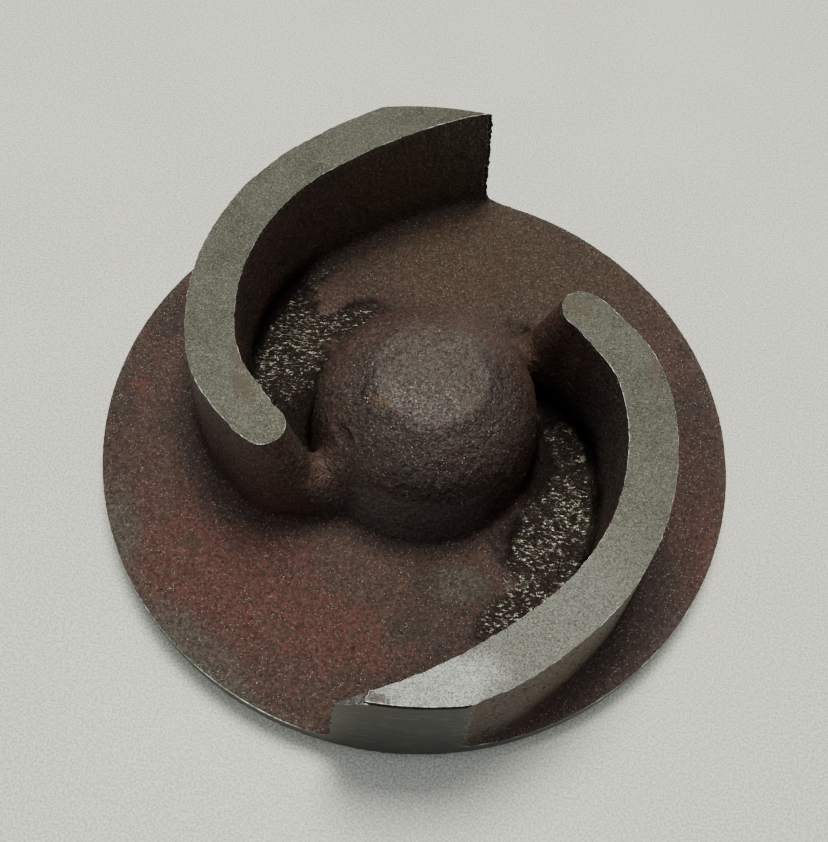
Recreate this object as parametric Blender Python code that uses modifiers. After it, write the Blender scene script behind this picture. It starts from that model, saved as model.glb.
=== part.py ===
"""Two-vane semi-open sewage pump impeller: one iron casting, turned on its outside.

Metres, +Z up. The origin is the centre of the back boss face, which seats on the
shaft's shoulder, so the casting rests on z = 0 with its vanes upwards.
"""
import math

import bmesh
import bpy
from mathutils import Matrix, Vector

MM = 0.001

# Disc and rim
IMPELLER_RADIUS = 110.0 * MM
RIM_STOCK = 2.5 * MM              # left on the raw casting, turned away with the vane ends
DISC_THICKNESS = 7.0 * MM
EDGE_BREAK = 0.6 * MM

# Back boss and the threaded blind bore for the shaft
BOSS_RADIUS = 38.0 * MM
BOSS_HEIGHT = 6.0 * MM
BOSS_FILLET = 3.0 * MM
BOSS_CHAMFER = 1.0 * MM
PILOT_RADIUS = 18.0 * MM
PILOT_DEPTH = 9.0 * MM
PILOT_CHAMFER = 1.2 * MM
BORE_RADIUS = 14.0 * MM
BORE_DEPTH = 40.0 * MM
DRILL_POINT_ANGLE = math.radians(59.0)

# Domed hub, heights measured from the disc's upper face
CROWN_HEIGHT = 45.3 * MM
CROWN_CURVATURE_RADIUS = 90.0 * MM
CROWN_EDGE_RADIUS = 18.5 * MM
SHOULDER_PULL_TOP = (27.0 * MM, 41.4 * MM)
SHOULDER_PULL_SIDE = (34.6 * MM, 34.6 * MM)
SHOULDER_END = (37.4 * MM, 23.0 * MM)
HUB_FOOT_RADIUS = 39.8 * MM
HUB_FOOT_FILLET = 2.6 * MM

# Vanes, in plan: from the join the middle line runs outwards over a straight and three
# tangent arcs, and inwards over two arcs, along which the web reaches the hub
VANE_HEIGHT = 49.0 * MM
VANE_THICKNESS = 15.7 * MM
VANE_DRAFT = 1.0 * MM             # added to each side from top to foot
VANE_FOOT_FILLET = 3.0 * MM
VANE_ROOT_DEPTH = 3.0 * MM        # how far a vane runs down into the disc
TOP_STOCK = 2.0 * MM              # faced off the vane tops
VANE_JOIN = (52.4 * MM, 24.8 * MM)
VANE_JOIN_HEADING = math.radians(-44.1)
STRAIGHT_RUN = 10.2 * MM
OUTER_ARCS = (                    # (radius, sweep), all bending clockwise
    (38.2 * MM, math.radians(31.7)),
    (81.7 * MM, math.radians(59.5)),
    (181.9 * MM, math.radians(25.0)),
)
INNER_ARCS = (                    # from the join inwards, bending towards the hub
    (14.0 * MM, math.radians(43.0)),
    (52.0 * MM, math.radians(35.0)),
)
TIP_TAPER = 1.4 * MM              # how much the nose is thinner, on the hub side
TIP_TAPER_LENGTH = 14.0 * MM
VANE_TURN = math.pi               # from the first vane to the second

# Leading edge: how far inwards of the join its nose centre stands at each height
NOSE_LINE = (
    (VANE_HEIGHT, 5.0 * MM),
    (25.0 * MM, 12.0 * MM),
    (20.5 * MM, 16.0 * MM),
    (17.0 * MM, 22.0 * MM),
    (0.0, 30.0 * MM),
)

# Broken-off corner at the outer end of the first vane
BREAK_POINT = (-8.0 * MM, -105.6 * MM, 49.0 * MM)
BREAK_NORMAL = (-0.666, -0.212, 0.716)
BREAK_SIZE = 20.0 * MM

# Resolution
TURN_STEPS = 72
CURVE_STEPS = 6
PATH_STEP = 5.6 * MM
NOSE_STEPS = 8
WEB_POINTS = 6
SMOOTH_ANGLE = math.radians(35.0)

DISC_TOP = BOSS_HEIGHT + DISC_THICKNESS
VANE_TOP = DISC_TOP + VANE_HEIGHT


def clear_scene():
    """Remove whatever the opened file holds."""
    for obj in list(bpy.data.objects):
        bpy.data.objects.remove(obj, do_unlink=True)


def make_collection(name):
    collection = bpy.data.collections.new(name)
    bpy.context.scene.collection.children.link(collection)
    return collection


def cast_iron():
    """Primed grey iron, the finish of the raw casting."""
    material = bpy.data.materials.new("primed_cast_iron")
    material.use_nodes = True
    shader = material.node_tree.nodes["Principled BSDF"]
    shader.inputs["Base Color"].default_value = (0.085, 0.050, 0.038, 1.0)
    shader.inputs["Roughness"].default_value = 0.62
    shader.inputs["Metallic"].default_value = 0.35
    return material


def arc_points(centre, radius, start, end, steps):
    """Points of a circular arc in the (r, z) plane, both ends included."""
    return [
        (centre[0] + radius * math.cos(start + (end - start) * i / steps),
         centre[1] + radius * math.sin(start + (end - start) * i / steps))
        for i in range(steps + 1)
    ]


def bezier_points(start, pull_a, pull_b, end, steps):
    """Points of a cubic curve, without its start."""
    points = []
    for i in range(1, steps + 1):
        t = i / steps
        weights = ((1 - t) ** 3, 3 * t * (1 - t) ** 2, 3 * t * t * (1 - t), t ** 3)
        points.append(tuple(
            sum(w * p[axis] for w, p in zip(weights, (start, pull_a, pull_b, end)))
            for axis in (0, 1)
        ))
    return points


def hub_profile():
    """Crown, shoulder, flank and foot fillet of the hub, from the axis outwards."""
    crown = []
    for i in range(4):
        r = CROWN_EDGE_RADIUS * i / 3
        drop = CROWN_CURVATURE_RADIUS - math.sqrt(CROWN_CURVATURE_RADIUS ** 2 - r * r)
        crown.append((r, CROWN_HEIGHT - drop))
    shoulder = bezier_points(
        crown[-1], SHOULDER_PULL_TOP, SHOULDER_PULL_SIDE, SHOULDER_END, CURVE_STEPS)
    foot_centre = (HUB_FOOT_RADIUS + HUB_FOOT_FILLET, HUB_FOOT_FILLET)
    foot = arc_points(foot_centre, HUB_FOOT_FILLET, math.pi, 1.5 * math.pi, 4)
    return [(r, DISC_TOP + z) for r, z in crown + shoulder + foot]


def body_profile():
    """Closed half section of hub, disc and boss, from the axis on top to the axis below."""
    raw_radius = IMPELLER_RADIUS + RIM_STOCK
    boss_fillet = arc_points(
        (BOSS_RADIUS + BOSS_FILLET, BOSS_HEIGHT - BOSS_FILLET),
        BOSS_FILLET, 0.5 * math.pi, math.pi, 4)
    return hub_profile() + [
        (raw_radius, DISC_TOP),
        (raw_radius, BOSS_HEIGHT),
    ] + boss_fillet + [
        (BOSS_RADIUS, BOSS_CHAMFER),
        (BOSS_RADIUS - BOSS_CHAMFER, 0.0),
        (0.0, 0.0),
    ]


def bore_profile():
    """Half section of the blind bore cutter: drill point, bore, pilot and mouth chamfer."""
    point_height = BORE_RADIUS / math.tan(DRILL_POINT_ANGLE)
    below = 2.0 * MM
    mouth = PILOT_RADIUS + PILOT_CHAMFER
    return [
        (0.0, BORE_DEPTH + point_height),
        (BORE_RADIUS, BORE_DEPTH),
        (BORE_RADIUS, PILOT_DEPTH),
        (PILOT_RADIUS, PILOT_DEPTH),
        (PILOT_RADIUS, PILOT_CHAMFER),
        (mouth, 0.0),
        (mouth, -below),
        (0.0, -below),
    ]


def envelope_profile():
    """Half section of what the lathe leaves: outside diameter and faced vane tops."""
    below = 5.0 * MM
    return [
        (0.0, VANE_TOP),
        (IMPELLER_RADIUS, VANE_TOP),
        (IMPELLER_RADIUS, BOSS_HEIGHT + EDGE_BREAK),
        (IMPELLER_RADIUS - EDGE_BREAK, BOSS_HEIGHT),
        (IMPELLER_RADIUS - EDGE_BREAK, -below),
        (0.0, -below),
    ]


def evaluated_copy(obj, collection):
    """The object with its modifiers applied, as a mesh object; the original is removed."""
    graph = bpy.context.evaluated_depsgraph_get()
    mesh = bpy.data.meshes.new_from_object(obj.evaluated_get(graph))
    name = obj.name
    bpy.data.objects.remove(obj, do_unlink=True)
    result = bpy.data.objects.new(name, mesh)
    collection.objects.link(result)
    return result


def turned(name, profile, collection):
    """A solid of revolution about Z from its half section, which starts on the axis."""
    mesh = bpy.data.meshes.new(name)
    mesh.from_pydata([(r, 0.0, z) for r, z in profile],
                     [(i, i + 1) for i in range(len(profile) - 1)], [])
    obj = bpy.data.objects.new(name, mesh)
    collection.objects.link(obj)
    screw = obj.modifiers.new("turn", "SCREW")
    screw.axis = "Z"
    screw.steps = TURN_STEPS
    screw.render_steps = TURN_STEPS
    screw.use_merge_vertices = True
    screw.merge_threshold = 0.00001
    return evaluated_copy(obj, collection)


def direction(heading):
    return Vector((math.cos(heading), math.sin(heading)))


def step_along_arc(point, heading, radius, turn):
    """The point and heading after turning by an angle, positive to the left."""
    chord = 2 * radius * math.sin(abs(turn) / 2)
    return point + chord * direction(heading + turn / 2), heading + turn


def outer_stations():
    """Points and headings of the middle line from the join out past the rim."""
    heading = VANE_JOIN_HEADING
    point = Vector(VANE_JOIN)
    stations = [(point, heading)]
    point = point + STRAIGHT_RUN * direction(heading)
    stations.append((point, heading))
    for radius, sweep in OUTER_ARCS:
        steps = round(radius * sweep / PATH_STEP)
        for _ in range(steps):
            point, heading = step_along_arc(point, heading, radius, -sweep / steps)
            stations.append((point, heading))
    return stations


def web_station(distance):
    """Point and outward heading on the inner path, a distance inwards of the join."""
    point = Vector(VANE_JOIN)
    heading = VANE_JOIN_HEADING + math.pi
    for radius, sweep in INNER_ARCS:
        length = min(distance, radius * sweep)
        point, heading = step_along_arc(point, heading, radius, length / radius)
        distance -= length
    return point, heading - math.pi


def nose_distance(height):
    """How far inwards of the join the nose centre stands at a height above the disc."""
    if height >= NOSE_LINE[0][0]:
        return NOSE_LINE[0][1]
    for (high, near), (low, far) in zip(NOSE_LINE, NOSE_LINE[1:]):
        if height >= low:
            return far + (near - far) * (height - low) / (high - low)
    return NOSE_LINE[-1][1]


def half_thickness(height):
    """Half the vane's thickness with its draft and foot fillet."""
    draft = VANE_DRAFT * (1 - max(0.0, min(height, VANE_HEIGHT)) / VANE_HEIGHT)
    rise = max(0.0, min(height, VANE_FOOT_FILLET))
    gap = VANE_FOOT_FILLET - rise
    fillet = VANE_FOOT_FILLET - math.sqrt(VANE_FOOT_FILLET ** 2 - gap * gap)
    return VANE_THICKNESS / 2 + draft + fillet


def vane_outline(height):
    """The vane's closed outline in plan at a height, counter-clockwise."""
    reach = nose_distance(height)
    web = [web_station(reach * (1 - i / WEB_POINTS)) for i in range(WEB_POINTS)]
    path = web + outer_stations()
    start, start_heading = path[0]
    half = half_thickness(height)

    def hub_side_width(point):
        taper = max(0.0, 1 - (point - start).length / TIP_TAPER_LENGTH)
        return half - TIP_TAPER * taper

    hub_side = [point - hub_side_width(point) * direction(heading + math.pi / 2)
                for point, heading in path]
    far_side = [point + half * direction(heading + math.pi / 2)
                for point, heading in reversed(path)]
    nose_centre = (hub_side[0] + far_side[-1]) / 2
    nose_radius = half - TIP_TAPER / 2
    nose = [nose_centre + nose_radius * direction(
                start_heading + math.pi / 2 + math.pi * i / NOSE_STEPS)
            for i in range(1, NOSE_STEPS)]
    return hub_side + far_side + nose


def vane_levels():
    """Heights above the disc's face at which the vane's outline is taken."""
    fillet = VANE_FOOT_FILLET
    foot = [-VANE_ROOT_DEPTH, 0.0, 0.12 * fillet, 0.4 * fillet, fillet]
    bends = [height for height, _ in NOSE_LINE if fillet < height < VANE_HEIGHT]
    return foot + sorted(bends) + [VANE_HEIGHT, VANE_HEIGHT + TOP_STOCK]


def vane(name, turn, collection):
    """One vane with its web, lofted through its outlines and turned to its place."""
    bm = bmesh.new()
    rings = [
        [bm.verts.new((p.x, p.y, DISC_TOP + height)) for p in vane_outline(height)]
        for height in vane_levels()
    ]
    count = len(rings[0])
    for lower, upper in zip(rings, rings[1:]):
        for i in range(count):
            j = (i + 1) % count
            bm.faces.new((lower[i], lower[j], upper[j], upper[i]))
    bm.faces.new(list(reversed(rings[0])))
    bm.faces.new(rings[-1])
    bmesh.ops.rotate(bm, cent=(0, 0, 0), matrix=Matrix.Rotation(turn, 3, "Z"), verts=bm.verts)
    bmesh.ops.recalc_face_normals(bm, faces=bm.faces)
    mesh = bpy.data.meshes.new(name)
    bm.to_mesh(mesh)
    bm.free()
    obj = bpy.data.objects.new(name, mesh)
    collection.objects.link(obj)
    return obj


def corner_break(collection):
    """A block whose lower face cuts the broken corner off the first vane."""
    normal = Vector(BREAK_NORMAL).normalized()
    centre = Vector(BREAK_POINT) + Vector((0, 0, DISC_TOP)) + normal * BREAK_SIZE / 2
    bpy.ops.mesh.primitive_cube_add(size=BREAK_SIZE, location=centre)
    block = bpy.context.object
    block.name = "corner_break"
    block.rotation_euler = normal.to_track_quat("Z", "Y").to_euler()
    for other in list(block.users_collection):
        other.objects.unlink(block)
    collection.objects.link(block)
    return block


def hide_cutter(obj):
    obj.hide_render = True
    obj.display_type = "WIRE"


def add_boolean(target, tool, operation):
    modifier = target.modifiers.new(f"{operation.lower()}_{tool.name}", "BOOLEAN")
    modifier.operation = operation
    modifier.solver = "EXACT"
    modifier.object = tool
    hide_cutter(tool)


def main():
    clear_scene()
    parts = make_collection("sewage_pump_impeller")
    cutters = make_collection("cutters")

    casting = turned("impeller_casting", body_profile(), parts)
    casting.data.materials.clear()
    casting.data.materials.append(cast_iron())
    for number in (0, 1):
        add_boolean(casting, vane(f"vane_{number + 1}", number * VANE_TURN, cutters), "UNION")
    add_boolean(casting, turned("machined_envelope", envelope_profile(), cutters), "INTERSECT")
    add_boolean(casting, turned("shaft_bore", bore_profile(), cutters), "DIFFERENCE")
    add_boolean(casting, corner_break(cutters), "DIFFERENCE")
    casting.data.shade_smooth()
    casting.data.set_sharp_from_angle(angle=SMOOTH_ANGLE)


main()
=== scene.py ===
"""Looks of a two-vane sewage pump impeller: a primed sand casting with turned faces.

The casting is made the way the real one is: a rough blank with a moulded skin, whose
vane tops, outside diameter, back and bore are then cut bare. Metres, +Z up.
"""
import logging
import math
from dataclasses import dataclass, field
from enum import Enum
from typing import Any, Sequence

import bmesh
import bpy
import numpy as np
from mathutils import Matrix, Vector, noise


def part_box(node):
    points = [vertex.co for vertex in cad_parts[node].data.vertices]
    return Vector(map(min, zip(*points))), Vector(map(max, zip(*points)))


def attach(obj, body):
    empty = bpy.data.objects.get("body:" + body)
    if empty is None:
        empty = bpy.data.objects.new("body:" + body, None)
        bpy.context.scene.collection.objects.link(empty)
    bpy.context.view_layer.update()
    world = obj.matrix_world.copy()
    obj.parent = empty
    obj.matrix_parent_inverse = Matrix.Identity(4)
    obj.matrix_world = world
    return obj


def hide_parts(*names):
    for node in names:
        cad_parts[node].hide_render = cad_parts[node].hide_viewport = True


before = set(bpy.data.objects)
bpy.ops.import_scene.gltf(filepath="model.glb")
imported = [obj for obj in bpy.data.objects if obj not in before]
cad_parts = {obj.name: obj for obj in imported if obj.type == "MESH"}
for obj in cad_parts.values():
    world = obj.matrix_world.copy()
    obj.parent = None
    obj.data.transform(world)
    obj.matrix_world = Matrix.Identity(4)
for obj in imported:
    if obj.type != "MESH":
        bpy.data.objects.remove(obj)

LOG = logging.getLogger("impeller")
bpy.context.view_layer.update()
NODE = "impeller_casting"
BODY = "root"
MM = 0.001
DEG = math.pi / 180.0

Colour = tuple[float, float, float]
Point2 = tuple[float, float]
Point3 = tuple[float, float, float]
ON_AXIS = 1e-9  # metres: a radius below this lies on the axis


class Op(Enum):
    """Boolean operations of the machining steps."""

    KEEP_INSIDE = "INTERSECT"
    CUT_AWAY = "DIFFERENCE"


class Surface(Enum):
    """What made each surface of the part; the value is its material index."""

    CAST = 0
    FACED_TOP = 1
    TURNED_RIM = 2
    TURNED_BACK = 3
    BORED = 4
    BROKEN = 5


class Socket:
    """A node output that can be used in arithmetic, which adds Math nodes."""

    def __init__(self, graph: "Graph", output: bpy.types.NodeSocket) -> None:
        """Wrap a node's output.

        Args:
            graph: The node tree that the output belongs to.
            output: The output socket itself.
        """
        self.graph = graph
        self.output = output

    def _math(self, operation: str, *values: Any) -> "Socket":
        """Add a Math node that works on the values."""
        return self.graph.node("ShaderNodeMath", {"operation": operation},
                               dict(enumerate(values)))[0]

    def __add__(self, other: Any) -> "Socket":
        """Sum."""
        return self._math("ADD", self, other)

    def __radd__(self, other: Any) -> "Socket":
        """Sum with a plain number first."""
        return self._math("ADD", other, self)

    def __sub__(self, other: Any) -> "Socket":
        """Difference."""
        return self._math("SUBTRACT", self, other)

    def __rsub__(self, other: Any) -> "Socket":
        """Difference from a plain number."""
        return self._math("SUBTRACT", other, self)

    def __mul__(self, other: Any) -> "Socket":
        """Product."""
        return self._math("MULTIPLY", self, other)

    def __rmul__(self, other: Any) -> "Socket":
        """Product with a plain number first."""
        return self._math("MULTIPLY", other, self)

    def __truediv__(self, other: Any) -> "Socket":
        """Quotient."""
        return self._math("DIVIDE", self, other)

    def __rtruediv__(self, other: Any) -> "Socket":
        """Quotient of a plain number."""
        return self._math("DIVIDE", other, self)

    def __pow__(self, other: Any) -> "Socket":
        """Power."""
        return self._math("POWER", self, other)

    def above(self, low: float, high: float) -> "Socket":
        """Smooth step from zero at low to one at high.

        Args:
            low: Value that gives zero; it may be the larger of the two.
            high: Value that gives one.

        Returns:
            The stepped value.
        """
        settings = {"interpolation_type": "SMOOTHSTEP"}
        values = {"Value": self, "From Min": low, "From Max": high}
        return self.graph.node("ShaderNodeMapRange", settings, values)[0]

    def clipped(self) -> "Socket":
        """Value held between zero and one."""
        return self._math("MINIMUM", self._math("MAXIMUM", self, 0.0), 1.0)

    def larger(self, other: Any) -> "Socket":
        """The larger of two values."""
        return self._math("MAXIMUM", self, other)


class Graph:
    """A node tree that is filled in by expressions."""

    def __init__(self, tree: bpy.types.NodeTree) -> None:
        """Start from a tree that may already hold nodes."""
        self.tree = tree

    def node(self, kind: str, settings: dict[str, Any], values: dict[Any, Any]) -> list[Socket]:
        """Add one node.

        Args:
            kind: The node's type name.
            settings: Properties of the node, set before its inputs.
            values: Inputs by name or index, each a number, a tuple or a Socket.

        Returns:
            The node's outputs, the hidden ones left out.
        """
        made = self.tree.nodes.new(kind)
        for name, value in settings.items():
            setattr(made, name, value)
        usable = [socket for socket in made.inputs if socket.enabled]
        for key, value in values.items():
            target = (usable[key] if isinstance(key, int)
                      else next(s for s in usable if s.name == key))
            if isinstance(value, Socket):
                self.tree.links.new(value.output, target)
            else:
                target.default_value = value
        return [Socket(self, output) for output in made.outputs if output.enabled]

    def mix(self, factor: Any, low: Any, high: Any, blend: str = "MIX") -> Socket:
        """Mix two colours.

        Args:
            factor: How much of the second colour shows.
            low: First colour, as a Socket or three numbers.
            high: Second colour, as a Socket or three numbers.
            blend: Blend type of the Mix node.

        Returns:
            The mixed colour.
        """
        colours = [value if isinstance(value, Socket) else (*value, 1.0) for value in (low, high)]
        return self.node("ShaderNodeMix",
                         {"data_type": "RGBA", "blend_type": blend, "clamp_factor": True},
                         {"Factor": factor, "A": colours[0], "B": colours[1]})[0]

    def noise(self, place: Socket, scale: float, detail: float = 2.0,
              roughness: float = 0.5, distortion: float = 0.0) -> Socket:
        """Noise between zero and one.

        Args:
            place: Vector that the noise is read at, in metres.
            scale: Cycles per metre.
            detail: Octaves.
            roughness: Weight of the finer octaves.
            distortion: How far the pattern is pulled about.

        Returns:
            The noise value.
        """
        return self.node("ShaderNodeTexNoise", {},
                         {"Vector": place, "Scale": scale, "Detail": detail,
                          "Roughness": roughness, "Distortion": distortion})[0]

    def cells(self, place: Socket, scale: float) -> tuple[Socket, Socket]:
        """Small cells of space, like grains.

        Args:
            place: Vector that the cells are read at, in metres.
            scale: Cells per metre.

        Returns:
            The distance to the cell's middle, and a random value of each cell's own.
        """
        distance, tint = self.node("ShaderNodeTexVoronoi", {},
                                   {"Vector": place, "Scale": scale})[:2]
        return distance, self.parts(tint)[0]

    def rings(self, distance: Socket, scale: float, detail: float) -> Socket:
        """Noise that changes with one distance alone, like the marks of a lathe tool.

        Args:
            distance: Radius or height, in metres.
            scale: Cycles per metre.
            detail: Octaves.

        Returns:
            The noise value.
        """
        return self.node("ShaderNodeTexNoise", {"noise_dimensions": "1D"},
                         {"W": distance, "Scale": scale, "Detail": detail})[0]

    def bump(self, height: Any, strength: float, distance: float) -> Socket:
        """A normal that follows a height.

        Args:
            height: Height of the surface, about zero to one.
            strength: How far the normal follows it.
            distance: What a height of one stands for, in metres.

        Returns:
            The normal.
        """
        return self.node("ShaderNodeBump", {}, {"Strength": strength, "Distance": distance,
                                                "Height": height})[0]

    def mapped(self, place: Socket, scale: Point3, turn: Point3 = (0.0, 0.0, 0.0),
               shift: Point3 = (0.0, 0.0, 0.0)) -> Socket:
        """Place that is turned and stretched, so that a pattern on it runs one way.

        Args:
            place: Vector in metres.
            scale: Factor for each part.
            turn: Angles about X, Y and Z, in radians.
            shift: Offset, which sets one pattern apart from the next.

        Returns:
            The mapped vector.
        """
        return self.node("ShaderNodeMapping", {}, {"Vector": place, "Location": shift,
                                                   "Rotation": turn, "Scale": scale})[0]

    def radius(self, place: Socket) -> Socket:
        """Distance of a place from the Z axis."""
        east, north, _ = self.parts(place)
        return (east * east + north * north) ** 0.5

    def parts(self, vector: Socket) -> list[Socket]:
        """The three parts of a vector."""
        return self.node("ShaderNodeSeparateXYZ", {}, {"Vector": vector})

    def attribute(self, name: str) -> Socket:
        """A number that the mesh stores at each point."""
        return self.node("ShaderNodeAttribute", {"attribute_name": name}, {})[2]


class Finish:
    """Base of the finishes: makes a material with its node tree."""

    name = "finish"

    def material(self) -> bpy.types.Material:
        """Make the material.

        Returns:
            A material whose Principled shader this finish has dressed.
        """
        made = bpy.data.materials.new(self.name)
        made.use_nodes = True
        graph = Graph(made.node_tree)
        shader = made.node_tree.nodes["Principled BSDF"]
        place = graph.node("ShaderNodeTexCoord", {}, {})[3]
        for name, value in self.dress(graph, place).items():
            if isinstance(value, Socket):
                made.node_tree.links.new(value.output, shader.inputs[name])
            else:
                shader.inputs[name].default_value = value
        return made

    def dress(self, graph: Graph, place: Socket) -> dict[str, Any]:
        """Values or sockets for the shader's inputs.

        Args:
            graph: The material's node tree.
            place: Object coordinates.

        Returns:
            Inputs of the Principled shader by name.
        """
        raise NotImplementedError


@dataclass(frozen=True)
class Spot:
    """A soft oval on the part in plan: millimetres, and degrees from X to its long axis."""

    x: float
    y: float
    long: float
    wide: float
    turn: float = 0.0

    def depth(self, east: Socket, north: Socket) -> Socket:
        """How far inside the oval a point is.

        Args:
            east: The point's X.
            north: The point's Y.

        Returns:
            One at the middle, zero on the outline, negative outside.
        """
        cos, sin = math.cos(self.turn * DEG), math.sin(self.turn * DEG)
        right, ahead = east - self.x * MM, north - self.y * MM
        over = (right * cos + ahead * sin) / (self.long * MM)
        across = (ahead * cos - right * sin) / (self.wide * MM)
        return 1.0 - (over * over + across * across) ** 0.5


def patch(graph: Graph, place: Socket, spots: Sequence[Spot], ragged: Any, soft: float) -> Socket:
    """Mask of a patch that is made of overlapping spots.

    Args:
        graph: The node tree.
        place: Object coordinates.
        spots: The ovals that make up the patch.
        ragged: Value added to the depth inside, to tear the outline.
        soft: Width of the edge, as a share of a spot.

    Returns:
        One inside, zero outside.
    """
    east, north, _ = graph.parts(place)
    deepest = spots[0].depth(east, north)
    for spot in spots[1:]:
        deepest = deepest.larger(spot.depth(east, north))
    return (deepest + ragged).above(-soft, soft)


@dataclass
class SkinTextures:
    """Noises and place masks that the cast skin's finish is mixed from."""

    place: Socket
    east: Socket
    north: Socket
    up: Socket
    broad: Socket
    blotch: Socket
    pebble: Socket
    grain: Socket
    tear: Socket
    low: Socket
    hub: Socket


@dataclass(frozen=True)
class PrimedSkin(Finish):
    """Thin red-brown primer over the sand-cast skin, wet and black in two places."""

    name: str = "primed_cast_skin"
    brown: Colour = (0.060, 0.028, 0.018)
    dark: Colour = (0.034, 0.017, 0.012)
    red: Colour = (0.086, 0.024, 0.015)
    ochre: Colour = (0.058, 0.032, 0.012)
    # Colour of the painted shade on the disc.
    shaded: Colour = (0.024, 0.012, 0.009)
    worn: Colour = (0.064, 0.054, 0.040)
    oil: Colour = (0.0095, 0.0062, 0.0048)
    gleam: Colour = (0.066, 0.062, 0.047)
    rust: Colour = (0.150, 0.078, 0.020)
    haze: Colour = (0.074, 0.050, 0.042)
    # Colour of the painted highlight on the front of the crown.
    painted_crown_highlight: Colour = (0.300, 0.285, 0.260)
    # Colour of pale metallic flecks, which partly paint sparkle.
    fleck: Colour = (0.50, 0.47, 0.41)
    # Colour of the painted fill light on the hub's lower front flank.
    painted_fill_colour: Colour = (0.120, 0.100, 0.090)
    # Tone that multiplies in the painted shade on the hub's shoulder.
    shoulder_shade_tone: Colour = (0.60, 0.62, 0.64)
    mottle_dark: Colour = (0.60, 0.60, 0.60)
    mottle_pale: Colour = (1.52, 1.50, 1.46)
    red_spots: tuple[Spot, ...] = (
        Spot(-60, -58, 34, 24, -40),
        Spot(-24, -74, 22, 12, -20),
        Spot(97, -18, 30, 10, 100),
        Spot(-101, 7, 4, 3.5))
    ochre_spots: tuple[Spot, ...] = (
        Spot(15, 82, 62, 26, -10),)
    rust_spot: Spot = Spot(-15, -12, 5, 3, -30)
    # Broad ovals of painted shade on the disc beside the vanes.
    painted_shade_spots: tuple[Spot, ...] = (
        Spot(87, -26, 46, 15, 78),
        Spot(30, 78, 60, 22, -22),
        Spot(-68, -24, 26, 10, 118))
    worn_spots: tuple[Spot, ...] = (
        Spot(-60, -88, 22, 7, -40),
        Spot(-96, -45, 13, 6, -65),
        Spot(19, -54, 10, 6, 20),
        Spot(2, 0, 19, 18),
        Spot(62, -8, 26, 5, 100))
    oily_spots: tuple[Spot, ...] = (
        Spot(-55.5, 44, 22, 8, 68),
        Spot(-50, 20, 20, 14, 82),
        Spot(-33, 44, 17, 9, 28),
        Spot(-44, 43, 13, 9, 20),
        Spot(-43, 0, 16, 9, 72),
        Spot(50, -10, 29, 14, 92),
        Spot(47, -38, 18, 15, 65),
        Spot(36, -62, 15, 6, 45),
        Spot(45, 27, 26, 11, 119))
    wet_spots: tuple[Spot, ...] = (
        Spot(-52, 47, 20, 4, 68),
        Spot(-50.5, 23, 17, 11, 82),
        Spot(-32, 43, 15, 7, 30),
        Spot(-45, 42, 11, 7, 20),
        Spot(54.5, -4, 14, 6, 118),
        Spot(52, -26, 17, 12, 78),
        Spot(46, -46, 15, 11, 50),
        Spot(36, -62, 14, 6, 48))
    crown: Spot = Spot(1, -2, 27, 25)
    flank: Spot = Spot(-4, -13, 43, 38)
    # Oval where the painted highlight lies on the crown.
    shine: Spot = Spot(0, -11, 19, 12)
    dry_island: Spot = Spot(-38.5, 51.5, 6, 3.8, 40)
    # Oval in front of the hub where the painted fill light goes.
    painted_fill: Spot = Spot(2, -38, 34, 12)
    cap: Spot = Spot(1.6, -1, 18.3, 18.7)
    # Oval over the hub's front and right, where the shoulder gets painted shade.
    shade_side_spot: Spot = Spot(12, -16, 44, 36, -20)
    dimple: Spot = Spot(-71.4, -50.2, 3.3, 2.8)
    disc_top: float = 13.0 * MM
    broad_scale: float = 34.0
    blotch_scale: float = 120.0
    knob_scale: float = 340.0
    pebble_scale: float = 620.0
    ripple_scale: float = 940.0
    ripple_comb: Point3 = (0.6, 1.2, 1.0)
    ripple_turn: Point3 = (0.0, 0.0, 0.15)
    mottle_scale: float = 1050.0
    grain_scale: float = 1500.0
    fleck_scale: float = 2200.0
    relief: float = 0.42 * MM

    def textures(self, graph: Graph, place: Socket) -> SkinTextures:
        """Add the noises and place masks that the rest is mixed from.

        Args:
            graph: The material's node tree.
            place: Object coordinates.

        Returns:
            The textures.
        """
        east, north, up = graph.parts(place)
        broad = graph.noise(place, self.broad_scale, 4.0, 0.6)
        blotch = graph.noise(place, self.blotch_scale, 4.0, 0.6)
        flank = self.flank.depth(east, north).above(0.0, 0.15)
        return SkinTextures(
            place=place, east=east, north=north, up=up, broad=broad, blotch=blotch,
            pebble=graph.noise(place, self.pebble_scale, 2.0, 0.55),
            grain=graph.noise(place, self.grain_scale, 2.0, 0.6),
            tear=(blotch - 0.5) * 1.6 + (broad - 0.5) * 0.8,
            low=up.above(self.disc_top + 16 * MM, self.disc_top + 4 * MM),
            hub=flank * up.above(self.disc_top + 2 * MM, self.disc_top + 14 * MM))

    def primer(self, graph: Graph, skin: SkinTextures) -> Socket:
        """Blotchy primer, dark in its pits, worn on its high points, with painted shade in broad
        spots, and painted shade with some dirt in broad hollows.

        Args:
            graph: The material's node tree.
            skin: The textures.

        Returns:
            The primer's colour.
        """
        relief, hollow = graph.attribute("relief"), graph.attribute("hollow")
        colour = graph.mix(skin.broad.above(0.40, 0.66), self.brown, self.dark)
        reds = patch(graph, skin.place, self.red_spots, skin.tear, 0.5)
        colour = graph.mix(reds * 0.75, colour, self.red)
        colour = graph.mix(skin.blotch.above(0.56, 0.74) * 0.5, colour, self.red)
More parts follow.
